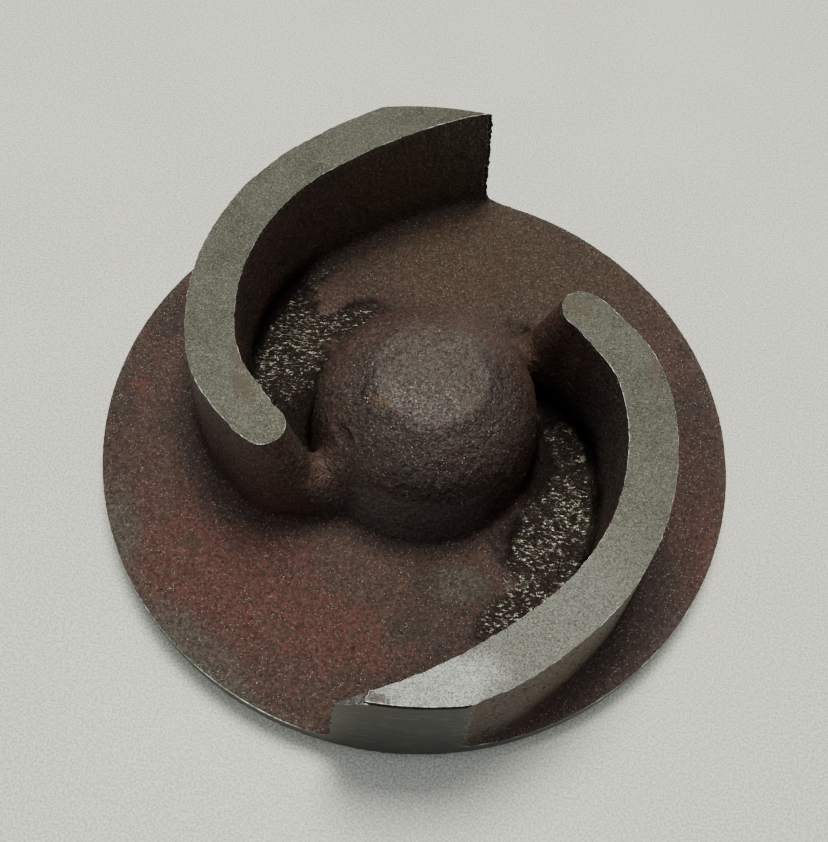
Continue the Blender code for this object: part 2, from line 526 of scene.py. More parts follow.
        # Painted shade: broad spots of the disc beside the vanes are darkened.
        painted_shade = patch(graph, skin.place, self.painted_shade_spots, skin.tear * 0.5, 0.4)
        colour = graph.mix(painted_shade * 0.55, colour, self.shaded)
        ochres = patch(graph, skin.place, self.ochre_spots, skin.tear, 0.5)
        colour = graph.mix(ochres * 0.7, colour, self.ochre)
        rubbed = patch(graph, skin.place, self.worn_spots, skin.tear, 0.4)
        peaks = (0.0 - relief).above(0.03, 0.14)
        bare = rubbed * 0.65 + peaks * 0.3 + skin.grain.above(0.55, 0.70) * 0.45
        colour = graph.mix(bare.clipped(), colour, self.worn)
        pits = relief.above(0.03, 0.14) * 0.35 + skin.pebble.above(0.5, 0.3) * 0.45
        # Painted shade in the broad hollows by the wall feet, with some real dirt.
        corner_shade_and_dirt = hollow.above(0.10, 0.9) * 0.40
        return graph.mix((pits + corner_shade_and_dirt).clipped(), colour, self.dark)

    def hub_colour(self, graph: Graph, skin: SkinTextures, colour: Socket) -> Socket:
        """Lay the hub's own stains, a painted shade and a painted fill light over the primer.

        Args:
            graph: The material's node tree.
            skin: The textures.
            colour: The primer's colour.

        Returns:
            The colour with a rust spot, a painted shade on the shoulder and a painted fill light on
            the lower front flank.
        """
        east, north, up = skin.east, skin.north, skin.up
        rust = self.rust_spot.depth(east, north) + skin.tear * 0.8
        colour = graph.mix(rust.above(-0.2, 0.7) * (1.0 - skin.low) * 0.7, colour, self.rust)
        colour = graph.mix(skin.hub * (0.15 + skin.blotch * 0.35), colour, self.haze)
        # Painted shade: below the crown's edge the steep shoulder is darkened on the front and
        # right.
        cap = (self.cap.depth(east, north) + skin.tear * 0.12).above(-0.04, 0.08)
        shade_side = self.shade_side_spot.depth(east, north).above(0.0, 0.35)
        shoulder = up.above(self.disc_top + 24 * MM, self.disc_top + 29 * MM) * (1.0 - cap) * shade_side
        colour = graph.mix(shoulder, colour, self.shoulder_shade_tone, "MULTIPLY")
        # Painted light: the lower front flank of the hub is lightened as a fill light would light
        # it.
        painted_fill = self.painted_fill.depth(east, north).above(-0.1, 0.5)
        painted_fill = painted_fill * up.above(self.disc_top + 28 * MM, self.disc_top + 22 * MM)
        painted_fill = painted_fill * up.above(self.disc_top + MM, self.disc_top + 4 * MM)
        return graph.mix(painted_fill * 0.55, colour, self.painted_fill_colour)

    def oil_film(self, graph: Graph, skin: SkinTextures) -> tuple[Socket, Socket, Socket, Socket]:
        """Where old oil lies in the waterways.

        Args:
            graph: The material's node tree.
            skin: The textures.

        Returns:
            Masks of the dark film, of its wet middle and of the glints there, and its ripple.
        """
        dry = self.dry_island.depth(skin.east, skin.north).above(-0.3, 0.3)
        lying = skin.low * (1.0 - dry)
        oily = patch(graph, skin.place, self.oily_spots, skin.tear * 0.9, 0.30) * lying
        wet = patch(graph, skin.place, self.wet_spots, skin.tear * 1.1, 0.12) * lying
        combed = graph.mapped(skin.place, self.ripple_comb, self.ripple_turn)
        ripple = graph.noise(combed, self.ripple_scale, 2.0, 0.55, 0.5)
        gleam = (ripple + (skin.blotch - 0.5) * 0.40).above(0.520, 0.655) * wet
        return oily, wet, gleam, ripple

    def dress(self, graph: Graph, place: Socket) -> dict[str, Any]:
        """Primer with wet oil in the waterways, fine sparkle partly painted, a painted highlight on
        the crown and a sand grain.

        Args:
            graph: The material's node tree.
            place: Object coordinates.

        Returns:
            Inputs of the Principled shader by name.
        """
        skin = self.textures(graph, place)
        east, north, grain, pebble = skin.east, skin.north, skin.grain, skin.pebble
        colour = self.hub_colour(graph, skin, self.primer(graph, skin))
        oily, wet, gleam, ripple = self.oil_film(graph, skin)
        colour = graph.mix(oily * 0.92, colour, self.oil)
        colour = graph.mix(gleam, colour, self.gleam)

        # Painted highlight: pale, a little metallic and smoother speckle where the lamp's highlight
        # falls on the front of the crown.
        shine = self.shine.depth(east, north).above(-0.1, 0.7) * (1.0 - skin.low)
        shine = shine * (pebble * 0.35 + grain * 0.65).above(0.54, 0.63)
        mottle = graph.noise(place, self.mottle_scale, 1.0, 0.5).above(0.30, 0.70)
        tone = graph.mix(mottle, self.mottle_dark, self.mottle_pale)
        colour = graph.mix(1.0 - oily, colour, tone, "MULTIPLY")
        colour = graph.mix(shine * 0.8, colour, self.painted_crown_highlight)
        bald = self.dimple.depth(east, north).above(0.0, 0.2) * skin.low
        colour = graph.mix(bald * 0.7, colour, self.brown)
        # Pale metallic flecks, partly painted sparkle.
        middle, lot = graph.cells(place, self.fleck_scale)
        spark = middle.above(0.44, 0.26) * lot.above(0.86, 0.97) * (1.0 - oily) * (1.0 - bald)
        colour = graph.mix(spark * 0.8, colour, self.fleck)

        knobs = graph.noise(place, self.knob_scale, 2.0, 0.6) * skin.hub
        height = grain * 0.8 + pebble * 1.4 - middle * lot * 0.6 + knobs * 2.2
        normal = graph.bump(height * (1.0 - wet) + ripple * wet, 1.0, self.relief)
        handled = self.crown.depth(east, north).above(0.0, 0.4) * (1.0 - skin.low)
        dull = 0.48 + grain.above(0.35, 0.7) * 0.20 - spark * 0.2 - skin.hub * 0.08 - handled * 0.24
        rough = dull * (1.0 - gleam) + gleam * 0.21 - shine * 0.06
        metal = (spark * 0.6 + oily * 0.8 + shine * 0.3).clipped()
        return {"Base Color": colour, "Metallic": metal, "Roughness": rough,
                "Normal": normal, "Specular IOR Level": 0.32}


@dataclass(frozen=True)
class FacedTop(Finish):
    """Bare grey iron of the vane tops, faced on a lathe and scratched since."""

    name: str = "faced_iron"
    bright: Colour = (0.130, 0.129, 0.100)
    dull: Colour = (0.034, 0.033, 0.024)
    rubbed: Colour = (0.235, 0.238, 0.225)
    stain: Colour = (0.090, 0.058, 0.027)
    rust: Colour = (0.062, 0.033, 0.012)
    pore: Colour = (0.030, 0.028, 0.020)
    scratch_and_glint: Colour = (0.40, 0.40, 0.36)
    rust_spots: tuple[Spot, ...] = (
        Spot(47, 29, 4, 3, -40),
        Spot(73, 8, 4, 2.5, 80),
        Spot(-56.5, -16, 5, 2.5, -50),
        Spot(-60, -5, 4, 2.5, 110))
    corner_rust: Spot = Spot(-3.5, -108.0, 6, 2.2, -12)
    rubbed_spots: tuple[Spot, ...] = (
        Spot(10, -103.5, 20, 9, 14),)
    worn_side: Spot = Spot(40, -85, 48, 24, 50)
    broad_scale: float = 70.0
    pore_scale: float = 1500.0
    fine_scale: float = 2300.0
    lathe_scale: float = 5200.0
    scratch_scales: Point3 = (70.0, 5200.0, 70.0)
    scratch_angles: Point3 = (0.55, -0.9, 1.9)
    scratch_seeds: Point3 = (0.0, 3.7, 7.1)
    relief: float = 0.08 * MM

    def scratches(self, graph: Graph, place: Socket, angle: float, seed: float) -> Socket:
        """Short fine scratches that run one way.

        Args:
            graph: The node tree.
            place: Object coordinates.
            angle: Their direction from X, in radians.
            seed: Offset that sets one family of scratches apart from the next.

        Returns:
            One on a scratch.
        """
        along = graph.mapped(place, self.scratch_scales, (0.0, 0.0, angle), (seed, seed, 0.0))
        return graph.noise(along, 1.0, 1.0, 0.3).above(0.73, 0.80)

    def dress(self, graph: Graph, place: Socket) -> dict[str, Any]:
        """Grainy metal with pores, lathe marks, scratches, painted glints and a few rust stains.

        Args:
            graph: The material's node tree.
            place: Object coordinates.

        Returns:
            Inputs of the Principled shader by name.
        """
        broad = graph.noise(place, self.broad_scale, 4.0, 0.6)
        pores = graph.noise(place, self.pore_scale, 3.0, 0.65)
        fine = graph.noise(place, self.fine_scale, 2.0, 0.7)
        middle, lot = graph.cells(place, self.fine_scale)
        east, north, _ = graph.parts(place)
        lathe = graph.rings(graph.radius(place), self.lathe_scale, 1.0)
        first, second, third = (self.scratches(graph, place, angle, seed) for angle, seed
                                in zip(self.scratch_angles, self.scratch_seeds))
        marks = first.larger(second).larger(third)
        grain = (broad.above(0.3, 0.7) * 0.30 + fine.above(0.34, 0.66) * 0.60
                 + lathe * 0.15 + lot * 0.35 - 0.20)
        colour = graph.mix(grain.clipped(), self.dull, self.bright)
        stains = patch(graph, place, self.rust_spots, (broad - 0.5) * 2.0, 0.6)
        colour = graph.mix(stains * 0.5, colour, self.stain)
        side = self.worn_side.depth(east, north).above(-0.3, 0.6)
        bare = patch(graph, place, self.rubbed_spots, (broad - 0.5) * 1.2, 0.35)
        bare = (bare * 0.8 + side * 0.26) * (0.35 + fine.above(0.3, 0.7) * 0.95)
        colour = graph.mix(bare.clipped(), colour, self.rubbed)
        brown = self.corner_rust.depth(east, north)
        brown = (brown + (pores - 0.5) * 3.4 + (fine - 0.5) * 2.0).above(0.1, 0.8)
        colour = graph.mix(brown * 0.6, colour, self.rust)
        colour = graph.mix(pores.above(0.62, 0.74) * 0.4, colour, self.pore)
        # Pale scratches, and pale specks that paint glints.
        glint = middle.above(0.42, 0.25) * lot.above(0.88, 0.96)
        colour = graph.mix((marks * 0.45 + glint * 0.5).clipped(), colour, self.scratch_and_glint)
        height = (0.0 - pores.above(0.58, 0.72)) + fine * 0.8 + lathe * 0.25 - marks * 0.5
        normal = graph.bump(height, 0.7, self.relief)
        rough = 0.54 + broad * 0.12 + stains * 0.1 + brown * 0.2 - bare * 0.08
        return {"Base Color": colour, "Metallic": 0.92 - stains * 0.5 - brown * 0.6,
                "Roughness": rough, "Normal": normal}


@dataclass(frozen=True)
class TurnedRim(Finish):
    """The outside diameter and vane ends: turned, then dulled by handling and oil."""

    name: str = "turned_rim_iron"
    dark: Colour = (0.013, 0.013, 0.010)
    pale: Colour = (0.030, 0.030, 0.024)
    pore: Colour = (0.020, 0.018, 0.015)
    scuffed: Colour = (0.12, 0.12, 0.10)
    ring_scale: float = 4200.0
    pore_scale: float = 1700.0
    streak_scales: Point3 = (160.0, 160.0, 90.0)
    scuff_scales: Point3 = (200.0, 200.0, 1600.0)
    scuff_turn: Point3 = (0.2, 0.5, 0.0)
    relief: float = 0.1 * MM

    def dress(self, graph: Graph, place: Socket) -> dict[str, Any]:
        """Dark grey metal with faint rings around and soft stains.

        Args:
            graph: The material's node tree.
            place: Object coordinates.

        Returns:
            Inputs of the Principled shader by name.
        """
        _, _, up = graph.parts(place)
        ring = graph.rings(up, self.ring_scale, 2.0)
        stain = graph.noise(graph.mapped(place, self.streak_scales), 1.0, 3.0, 0.6)
        pores = graph.noise(place, self.pore_scale, 2.0, 0.6)
        colour = graph.mix((stain.above(0.3, 0.75) + ring * 0.25).clipped(), self.dark, self.pale)
        colour = graph.mix(pores.above(0.60, 0.72) * 0.5, colour, self.pore)
        height = ring * 0.6 - pores.above(0.58, 0.72)
        normal = graph.bump(height, 0.5, self.relief)
        slanted = graph.mapped(place, self.scuff_scales, self.scuff_turn)
        scuff = graph.noise(slanted, 1.0, 2.0, 0.6).above(0.56, 0.68)
        scuff = scuff + pores.above(0.38, 0.28) * 0.5
        colour = graph.mix(scuff.clipped() * 0.7, colour, self.scuffed)
        return {"Base Color": colour, "Metallic": 0.8, "Roughness": 0.42 + stain * 0.15,
                "Normal": normal}


@dataclass(frozen=True)
class TurnedBack(Finish):
    """The back face and its boss: turned bare, with fine grooves and a thin rust bloom."""

    name: str = "turned_back_iron"
    bare: Colour = (0.27, 0.265, 0.235)
    dull: Colour = (0.15, 0.14, 0.115)
    bloom: Colour = (0.13, 0.065, 0.030)
    pitch: float = 0.55 * MM
    wear_scale: float = 900.0
    broad_scale: float = 45.0
    pore_scale: float = 1300.0
    relief: float = 0.08 * MM

    def dress(self, graph: Graph, place: Socket) -> dict[str, Any]:
        """Concentric tool grooves, blotches of thin rust and dark pores.

        Args:
            graph: The material's node tree.
            place: Object coordinates.

        Returns:
            Inputs of the Principled shader by name.
        """
        ring = graph.radius(place)
        groove = graph.node("ShaderNodeMath", {"operation": "SINE"},
                            {0: ring * (2 * math.pi / self.pitch)})[0]
        wear = graph.rings(ring, self.wear_scale, 3.0)
        broad = graph.noise(place, self.broad_scale, 4.0, 0.62)
        pores = graph.noise(place, self.pore_scale, 3.0, 0.6)
        colour = graph.mix((wear.above(0.3, 0.7) * 0.6 + groove * 0.12 + 0.12).clipped(),
                           self.dull, self.bare)
        rust = ((broad + (pores - 0.5) * 0.25).above(0.48, 0.78) * 0.8
                + pores.above(0.6, 0.7) * 0.2).clipped()
        colour = graph.mix(rust, colour, self.bloom)
        height = groove * 0.5 + wear * 0.5 - pores.above(0.58, 0.70) * 0.8
        normal = graph.bump(height, 0.6, self.relief)
        return {"Base Color": colour, "Metallic": 0.9 - rust * 0.8,
                "Roughness": 0.34 + rust * 0.4, "Normal": normal}


@dataclass(frozen=True)
class BoredIron(Finish):
    """Bore, pilot and thread: bare iron with a film of old oil."""

    name: str = "bored_iron"
    bare: Colour = (0.24, 0.23, 0.20)
    oiled: Colour = (0.07, 0.055, 0.04)
    ring_scale: float = 5000.0
    film_scale: float = 140.0
    relief: float = 0.08 * MM

    def dress(self, graph: Graph, place: Socket) -> dict[str, Any]:
        """Rings from boring under blotches of brown oil.

        Args:
            graph: The material's node tree.
            place: Object coordinates.

        Returns:
            Inputs of the Principled shader by name.
        """
        _, _, up = graph.parts(place)
        ring = graph.rings(up, self.ring_scale, 2.0)
        film = graph.noise(place, self.film_scale, 4.0, 0.6)
        colour = graph.mix(film.above(0.35, 0.65), self.bare, self.oiled)
        normal = graph.bump(ring, 0.5, self.relief)
        return {"Base Color": colour, "Metallic": 0.8, "Roughness": 0.3 + film * 0.2,
                "Normal": normal}


@dataclass(frozen=True)
class BrokenIron(Finish):
    """The crystalline grey break at the vane's chipped corner, browned a little."""

    name: str = "broken_iron"
    fresh: Colour = (0.210, 0.210, 0.180)
    grey: Colour = (0.060, 0.060, 0.048)
    brown: Colour = (0.060, 0.040, 0.024)
    crystal_scale: float = 1900.0
    film_scale: float = 260.0
    relief: float = 0.25 * MM

    def dress(self, graph: Graph, place: Socket) -> dict[str, Any]:
        """Bright crystal facets with brown between them.

        Args:
            graph: The material's node tree.
            place: Object coordinates.

        Returns:
            Inputs of the Principled shader by name.
        """
        middle, lot = graph.cells(place, self.crystal_scale)
        film = graph.noise(place, self.film_scale, 3.0, 0.6)
        colour = graph.mix(lot, self.grey, self.fresh)
        colour = graph.mix(film.above(0.48, 0.70) * 0.8, colour, self.brown)
        normal = graph.bump(lot - middle + film, 0.9, self.relief)
        return {"Base Color": colour, "Metallic": 0.6, "Roughness": 0.42, "Normal": normal}


@dataclass(frozen=True)
class BrightBurr(Finish):
    """Bare bright iron of a burr or rubbed edge."""

    name: str = "bright_burr"
    bright: Colour = (0.62, 0.62, 0.56)
    tarnish: Colour = (0.20, 0.19, 0.15)
    wear_scale: float = 420.0

    def dress(self, graph: Graph, place: Socket) -> dict[str, Any]:
        """Metal that is bright in places and tarnished in others.

        Args:
            graph: The material's node tree.
            place: Object coordinates.

        Returns:
            Inputs of the Principled shader by name.
        """
        wear = graph.noise(place, self.wear_scale, 3.0, 0.65)
        colour = graph.mix(wear.above(0.42, 0.62), self.tarnish, self.bright)
        return {"Base Color": colour, "Metallic": 0.9, "Roughness": 0.30 + wear * 0.2}


@dataclass(frozen=True)
class PaleTable(Finish):
    """Pale table top with a faint pearl fleck."""

    name: str = "pale_table"
    tint: Colour = (0.93, 0.915, 0.76)
    shade: Colour = (0.50, 0.495, 0.43)
    pearl: Colour = (0.97, 0.97, 0.96)
    fleck_scale: float = 1300.0
    cloud_scale: float = 14.0
    pearl_scale: float = 1000.0
    relief: float = 0.2 * MM

    def dress(self, graph: Graph, place: Socket) -> dict[str, Any]:
        """Even pale surface with fine flecks.

        Args:
            graph: The material's node tree.
            place: Object coordinates.

        Returns:
            Inputs of the Principled shader by name.
        """
        fleck = graph.noise(place, self.fleck_scale, 2.0, 0.7)
        cloud = graph.noise(place, self.cloud_scale, 2.0)
        middle, lot = graph.cells(place, self.pearl_scale)
        pearl = middle.above(0.45, 0.22) * lot.above(0.86, 0.95)
        colour = graph.mix((fleck.above(0.40, 0.60) * 0.8 + cloud * 0.35).clipped(),
                           self.shade, self.tint)
        colour = graph.mix(pearl * 0.8, colour, self.pearl)
        normal = graph.bump(fleck, 0.6, self.relief)
        return {"Base Color": colour, "Roughness": 0.40, "Normal": normal}


def link(obj: bpy.types.Object) -> bpy.types.Object:
    """Put an object in the scene's collection."""
    bpy.context.scene.collection.objects.link(obj)
    return obj


def as_object(name: str, mesh: bpy.types.Mesh) -> bpy.types.Object:
    """A linked object at the origin for a mesh."""
    return link(bpy.data.objects.new(name, mesh))


def from_bmesh(name: str, bm: bmesh.types.BMesh) -> bpy.types.Object:
    """A linked object at the origin from a bmesh, which is used up.

    Args:
        name: Name of the object and of its mesh.
        bm: The mesh as it was edited.

    Returns:
        The new object.
    """
    mesh = bpy.data.meshes.new(name)
    bm.to_mesh(mesh)
    bm.free()
    return as_object(name, mesh)


def baked(obj: bpy.types.Object) -> bpy.types.Object:
    """A plain copy of an object with its modifiers applied; the original is removed.

    Args:
        obj: Object whose place is already in its mesh.

    Returns:
        The new mesh object, under the same name.
    """
    graph = bpy.context.evaluated_depsgraph_get()
    mesh = bpy.data.meshes.new_from_object(obj.evaluated_get(graph))
    name = obj.name
    bpy.data.objects.remove(obj, do_unlink=True)
    mesh.name = name
    return as_object(name, mesh)


def turned(name: str, profile: Sequence[Point2], steps: int) -> bpy.types.Object:
    """A closed solid of revolution about Z.

    Args:
        name: Name of the object.
        profile: Half section as (radius, height), from the axis on top to the axis below.
        steps: Number of flats around.

    Returns:
        The new object.
    """
    bm = bmesh.new()
    rings: list[list[bmesh.types.BMVert]] = []
    for radius, height in profile:
        if radius < ON_AXIS:
            rings.append([bm.verts.new((0.0, 0.0, height))])
            continue
        rings.append([bm.verts.new((radius * math.cos(a), radius * math.sin(a), height))
                      for a in (2 * math.pi * i / steps for i in range(steps))])
    for upper, lower in zip(rings, rings[1:]):
        for i in range(steps):
            j = (i + 1) % steps
            corner_shade_and_dirt = [upper[i % len(upper)], lower[i % len(lower)],
                       lower[j % len(lower)], upper[j % len(upper)]]
            unique = list(dict.fromkeys(corner_shade_and_dirt))
            if len(unique) > 2:
                bm.faces.new(unique)
    return from_bmesh(name, bm)


def arc(centre: Point2, radius: float, start: float, end: float, steps: int) -> list[Point2]:
    """Points along a circular arc, both ends included, with angles in radians.

    Args:
        centre: Centre of the circle.
        radius: Its radius.
        start: First angle, in radians.
        end: Last angle, in radians.
        steps: Number of pieces.

    Returns:
        The points, both ends included.
    """
    return [(centre[0] + radius * math.cos(start + (end - start) * i / steps),
             centre[1] + radius * math.sin(start + (end - start) * i / steps))
            for i in range(steps + 1)]


def cubic(start: Point2, pull_a: Point2, pull_b: Point2, end: Point2, steps: int) -> list[Point2]:
    """Points along a cubic curve, without its start.

    Args:
        start: First point, which is left out of the result.
        pull_a: Point that the curve sets off towards.
        pull_b: Point that it arrives from.
        end: Last point.
        steps: Number of pieces.

    Returns:
        The points after the start.
    """
    points = []
    for i in range(1, steps + 1):
        t = i / steps
        weights = ((1 - t) ** 3, 3 * t * (1 - t) ** 2, 3 * t * t * (1 - t), t ** 3)
        corner_shade_and_dirt = (start, pull_a, pull_b, end)
        points.append(tuple(sum(w * p[k] for w, p in zip(weights, corner_shade_and_dirt)) for k in (0, 1)))
    return points


def machine(target: bpy.types.Object, tool: bpy.types.Object, operation: Op) -> bpy.types.Object:
    """Cut an object with another, which is used up.

    Args:
        target: The work.
        tool: The closed solid that it is cut with.
        operation: What is done.

    Returns:
        The object that replaces the target.
    """
    step = target.modifiers.new(operation.name, "BOOLEAN")
    step.operation = operation.value
    step.object = tool
    step.solver = "MANIFOLD"
    result = baked(target)
    bpy.data.objects.remove(tool, do_unlink=True)
    return result


@dataclass
class Hub:
    """The closed hub: a shallow crown, a sloping shoulder and a drafted flank."""

    face_height: float
    crown_height: float = 45.3 * MM
    crown_curvature: float = 120.0 * MM
    crown_edge: float = 18.8 * MM
    shoulder_pull_top: Point2 = (22.6 * MM, 40.9 * MM)
    shoulder_pull_side: Point2 = (36.2 * MM, 37.4 * MM)
    shoulder_end: Point2 = (37.4 * MM, 23.0 * MM)
    foot_radius: float = 39.8 * MM
    foot_fillet: float = 2.6 * MM
    root: float = 3.0 * MM
    core_shift: Vector = field(default_factory=lambda: Vector((0.9 * MM, -0.7 * MM, 0.0)))
    steps: int = 200
    crown_steps: int = 7
    shoulder_steps: int = 20
    fillet_steps: int = 6

    def profile(self) -> list[Point2]:
        """Half section, from the top of the crown down into the disc.

        Returns:
            Points as (radius, height).
        """
        crown = []
        for i in range(self.crown_steps + 1):
            r = self.crown_edge * i / self.crown_steps
            drop = self.crown_curvature - math.sqrt(self.crown_curvature ** 2 - r * r)
            crown.append((r, self.crown_height - drop))
        shoulder = cubic(crown[-1], self.shoulder_pull_top, self.shoulder_pull_side,
                         self.shoulder_end, self.shoulder_steps)
        foot = arc((self.foot_radius + self.foot_fillet, self.foot_fillet), self.foot_fillet,
                   math.pi, 1.5 * math.pi, self.fillet_steps)
        sunk = [(foot[-1][0], -self.root), (0.0, -self.root)]
        return [(r, self.face_height + z) for r, z in crown + shoulder + foot + sunk]

    def build(self) -> bpy.types.Object:
        """Make the blank, set a little off centre as the mould's core left it.

        Returns:
            The hub's blank.
        """
        hub = turned("hub_blank", self.profile(), self.steps)
        hub.data.transform(Matrix.Translation(self.core_shift))
        return hub


@dataclass
class Disc:
    """The disc with its turning stock and the low boss behind it."""

    rim_radius: float
    face_height: float
    stock: float = 2.5 * MM
    back_stock: float = 2.5 * MM
    boss_radius: float = 41.0 * MM
    steps: int = 200

    def build(self) -> bpy.types.Object:
        """Make the blank.

        Returns:
            The disc's blank.
        """
        raw = self.rim_radius + self.stock
        profile = [(0.0, self.face_height), (raw, self.face_height), (raw, self.back_stock),
                   (self.boss_radius, self.back_stock), (self.boss_radius, -self.stock),
                   (0.0, -self.stock)]
        return turned("disc_blank", profile, self.steps)


@dataclass
class Vane:
    """One backward-curved vane with the web that joins its tip to the hub.

    The middle line runs straight from the join, then along the outer arcs past the rim, and
    inwards from the join along the inner arcs as the web. The nose heights and reaches say
    how far inwards the web goes at each height. Towards the rim the flare thickens the hub
    side of the tail and the trim thins its outside.
    """

    rim_radius: float
    face_height: float
    top_height: float
    turn: float = 0.0
    thickness: float = 15.7 * MM
    draft: float = 1.0 * MM
    fillet: float = 3.0 * MM
    root: float = 3.0 * MM
    stock: float = 2.0 * MM
    join: Point2 = (52.4 * MM, 24.8 * MM)
    join_heading: float = -44.1 * DEG
    straight: float = 10.2 * MM
    outer_arcs: tuple[Point2, ...] = ((38.2 * MM, 31.7 * DEG), (81.7 * MM, 59.5 * DEG),
                                      (181.9 * MM, 25.0 * DEG))
    inner_arcs: tuple[Point2, ...] = ((14.0 * MM, 43.0 * DEG), (52.0 * MM, 35.0 * DEG))
    tip_taper: float = 1.4 * MM
    tip_taper_length: float = 14.0 * MM
    nose_heights: tuple[float, ...] = (0.0, 17.0 * MM, 20.5 * MM, 25.0 * MM, 49.0 * MM)
    nose_reaches: tuple[float, ...] = (30.0 * MM, 22.0 * MM, 16.0 * MM, 12.0 * MM, 5.0 * MM)
    flare: float = 1.1 * MM
    flare_length: float = 18.0 * MM
    trim: float = 0.0
    trim_length: float = 16.0 * MM
    trim_lean: float = 0.45
    trim_pivot: float = 0.4
    ramp_end: float = 1.1
    lag: float = 22.0 * MM
    step: float = 2.0 * MM
    level_step: float = 3.0 * MM
    web_points: int = 16
    nose_points: int = 14

    @staticmethod
    def _along(point: Vector, heading: float, radius: float, turn: float) -> tuple[Vector, float]:
        """The point and heading after turning by an angle, positive to the left.

        Args:
            point: Where the arc starts.
            heading: Direction there, in radians.
            radius: Radius of the arc.
            turn: Its angle, positive to the left.

        Returns:
            The point and heading at the arc's end.
        """
        chord = 2 * radius * math.sin(abs(turn) / 2)
        middle = heading + turn / 2
        return point + chord * Vector((math.cos(middle), math.sin(middle))), heading + turn

    def web_station(self, distance: float) -> tuple[Vector, float]:
        """Point and outward heading a distance inwards of the join.

        Args:
            distance: How far inwards of the join, in metres.

        Returns:
            The point and the outward heading there.
        """
        point, heading = Vector(self.join), self.join_heading + math.pi
        for radius, sweep in self.inner_arcs:
            length = min(distance, radius * sweep)
            point, heading = self._along(point, heading, radius, length / radius)
            distance -= length
        return point, heading - math.pi

    def outer_stations(self) -> list[tuple[Vector, float]]:
        """Points and headings of the middle line from the join past the rim.

        Returns:
            Each point with its heading.
        """
        heading = self.join_heading
        forward = Vector((math.cos(heading), math.sin(heading)))
        count = round(self.straight / self.step)
        stations = [(Vector(self.join) + forward * self.straight * i / count, heading)
                    for i in range(count + 1)]
        point = stations[-1][0]
        for radius, sweep in self.outer_arcs:
            count = round(radius * sweep / self.step)
            for _ in range(count):
                point, heading = self._along(point, heading, radius, -sweep / count)
                stations.append((point, heading))
        return stations

    def half_width(self, height: float) -> float:
        """Half the thickness at a height above the disc, with draft and foot fillet.

        Args:
            height: Height above the disc's face.

        Returns:
            Half the thickness there.
        """
        full = self.top_height - self.face_height
        draft = self.draft * (1 - min(max(height, 0.0), full) / full)
        gap = self.fillet - min(max(height, 0.0), self.fillet)
        return (self.thickness / 2 + draft + self.fillet
                - math.sqrt(self.fillet ** 2 - gap * gap))

    def outline(self, height: float) -> list[Vector]:
        """The closed outline in plan at a height above the disc.

        Args:
            height: Height above the disc's face.

        Returns:
            The points, in order around.
        """
        reach = float(np.interp(height, self.nose_heights, self.nose_reaches))
        web = [self.web_station(reach * (1 - i / self.web_points))
               for i in range(self.web_points)]
        path = web + self.outer_stations()
        start, start_heading = path[0]
        half = self.half_width(height)
        share = height / (self.top_height - self.face_height)
        lean = 1 + self.trim_lean * (self.trim_pivot - share)
        crossing = next(i for i, (point, _) in enumerate(path) if point.length > self.rim_radius)

        def normal(heading: float) -> Vector:
            """Unit vector to the left of a heading."""
            return Vector((-math.sin(heading), math.cos(heading)))

        def ramp(index: int, end: float, length: float) -> float:
            """Zero before a stretch of the path that ends past the rim crossing, then rising."""
            run = (index - crossing) * self.step - end
            return min(max(1 + run / length, 0.0), self.ramp_end) ** 2

        near, far = [], []
        for index, (point, heading) in enumerate(path):
            taper = max(0.0, 1 - (point - start).length / self.tip_taper_length)
            inner = (half - self.tip_taper * taper
                     + self.flare * ramp(index, self.lag, self.flare_length))
            outer = half - self.trim * lean * ramp(index, -self.lag, self.trim_length)
            near.append(point - inner * normal(heading))
            far.append(point + outer * normal(heading))
        far.reverse()
        centre = (near[0] + far[-1]) / 2
        radius = half - self.tip_taper / 2
        nose = [centre + radius * normal(start_heading + math.pi * i / self.nose_points)
                for i in range(1, self.nose_points)]
        return near + far + nose

    def levels(self) -> list[float]:
        """Heights above the disc where the outline is taken.

        Returns:
            The heights, rising.
        """
        full = self.top_height - self.face_height
        foot = [-self.root] + [self.fillet * k for k in (0.0, 0.05, 0.15, 0.35, 0.65)]
        count = round((full - self.fillet) / self.level_step)
        rise = [self.fillet + (full - self.fillet) * i / count for i in range(count + 1)]
        return foot + rise + [full + self.stock]

    def build(self) -> bpy.types.Object:
        """Loft the blank through its outlines.

        Returns:
            The vane's blank.
        """
        bm = bmesh.new()
        rings = [[bm.verts.new((p.x, p.y, self.face_height + height))
                  for p in self.outline(height)] for height in self.levels()]
        count = len(rings[0])
        for lower, upper in zip(rings, rings[1:]):
            for i in range(count):
                j = (i + 1) % count
                bm.faces.new((lower[i], lower[j], upper[j], upper[i]))
        bm.faces.new(list(reversed(rings[0])))
        bm.faces.new(rings[-1])
        bmesh.ops.rotate(bm, cent=(0, 0, 0), matrix=Matrix.Rotation(self.turn, 3, "Z"),
                         verts=bm.verts)
        bmesh.ops.recalc_face_normals(bm, faces=bm.faces)
        return from_bmesh("vane_blank", bm)


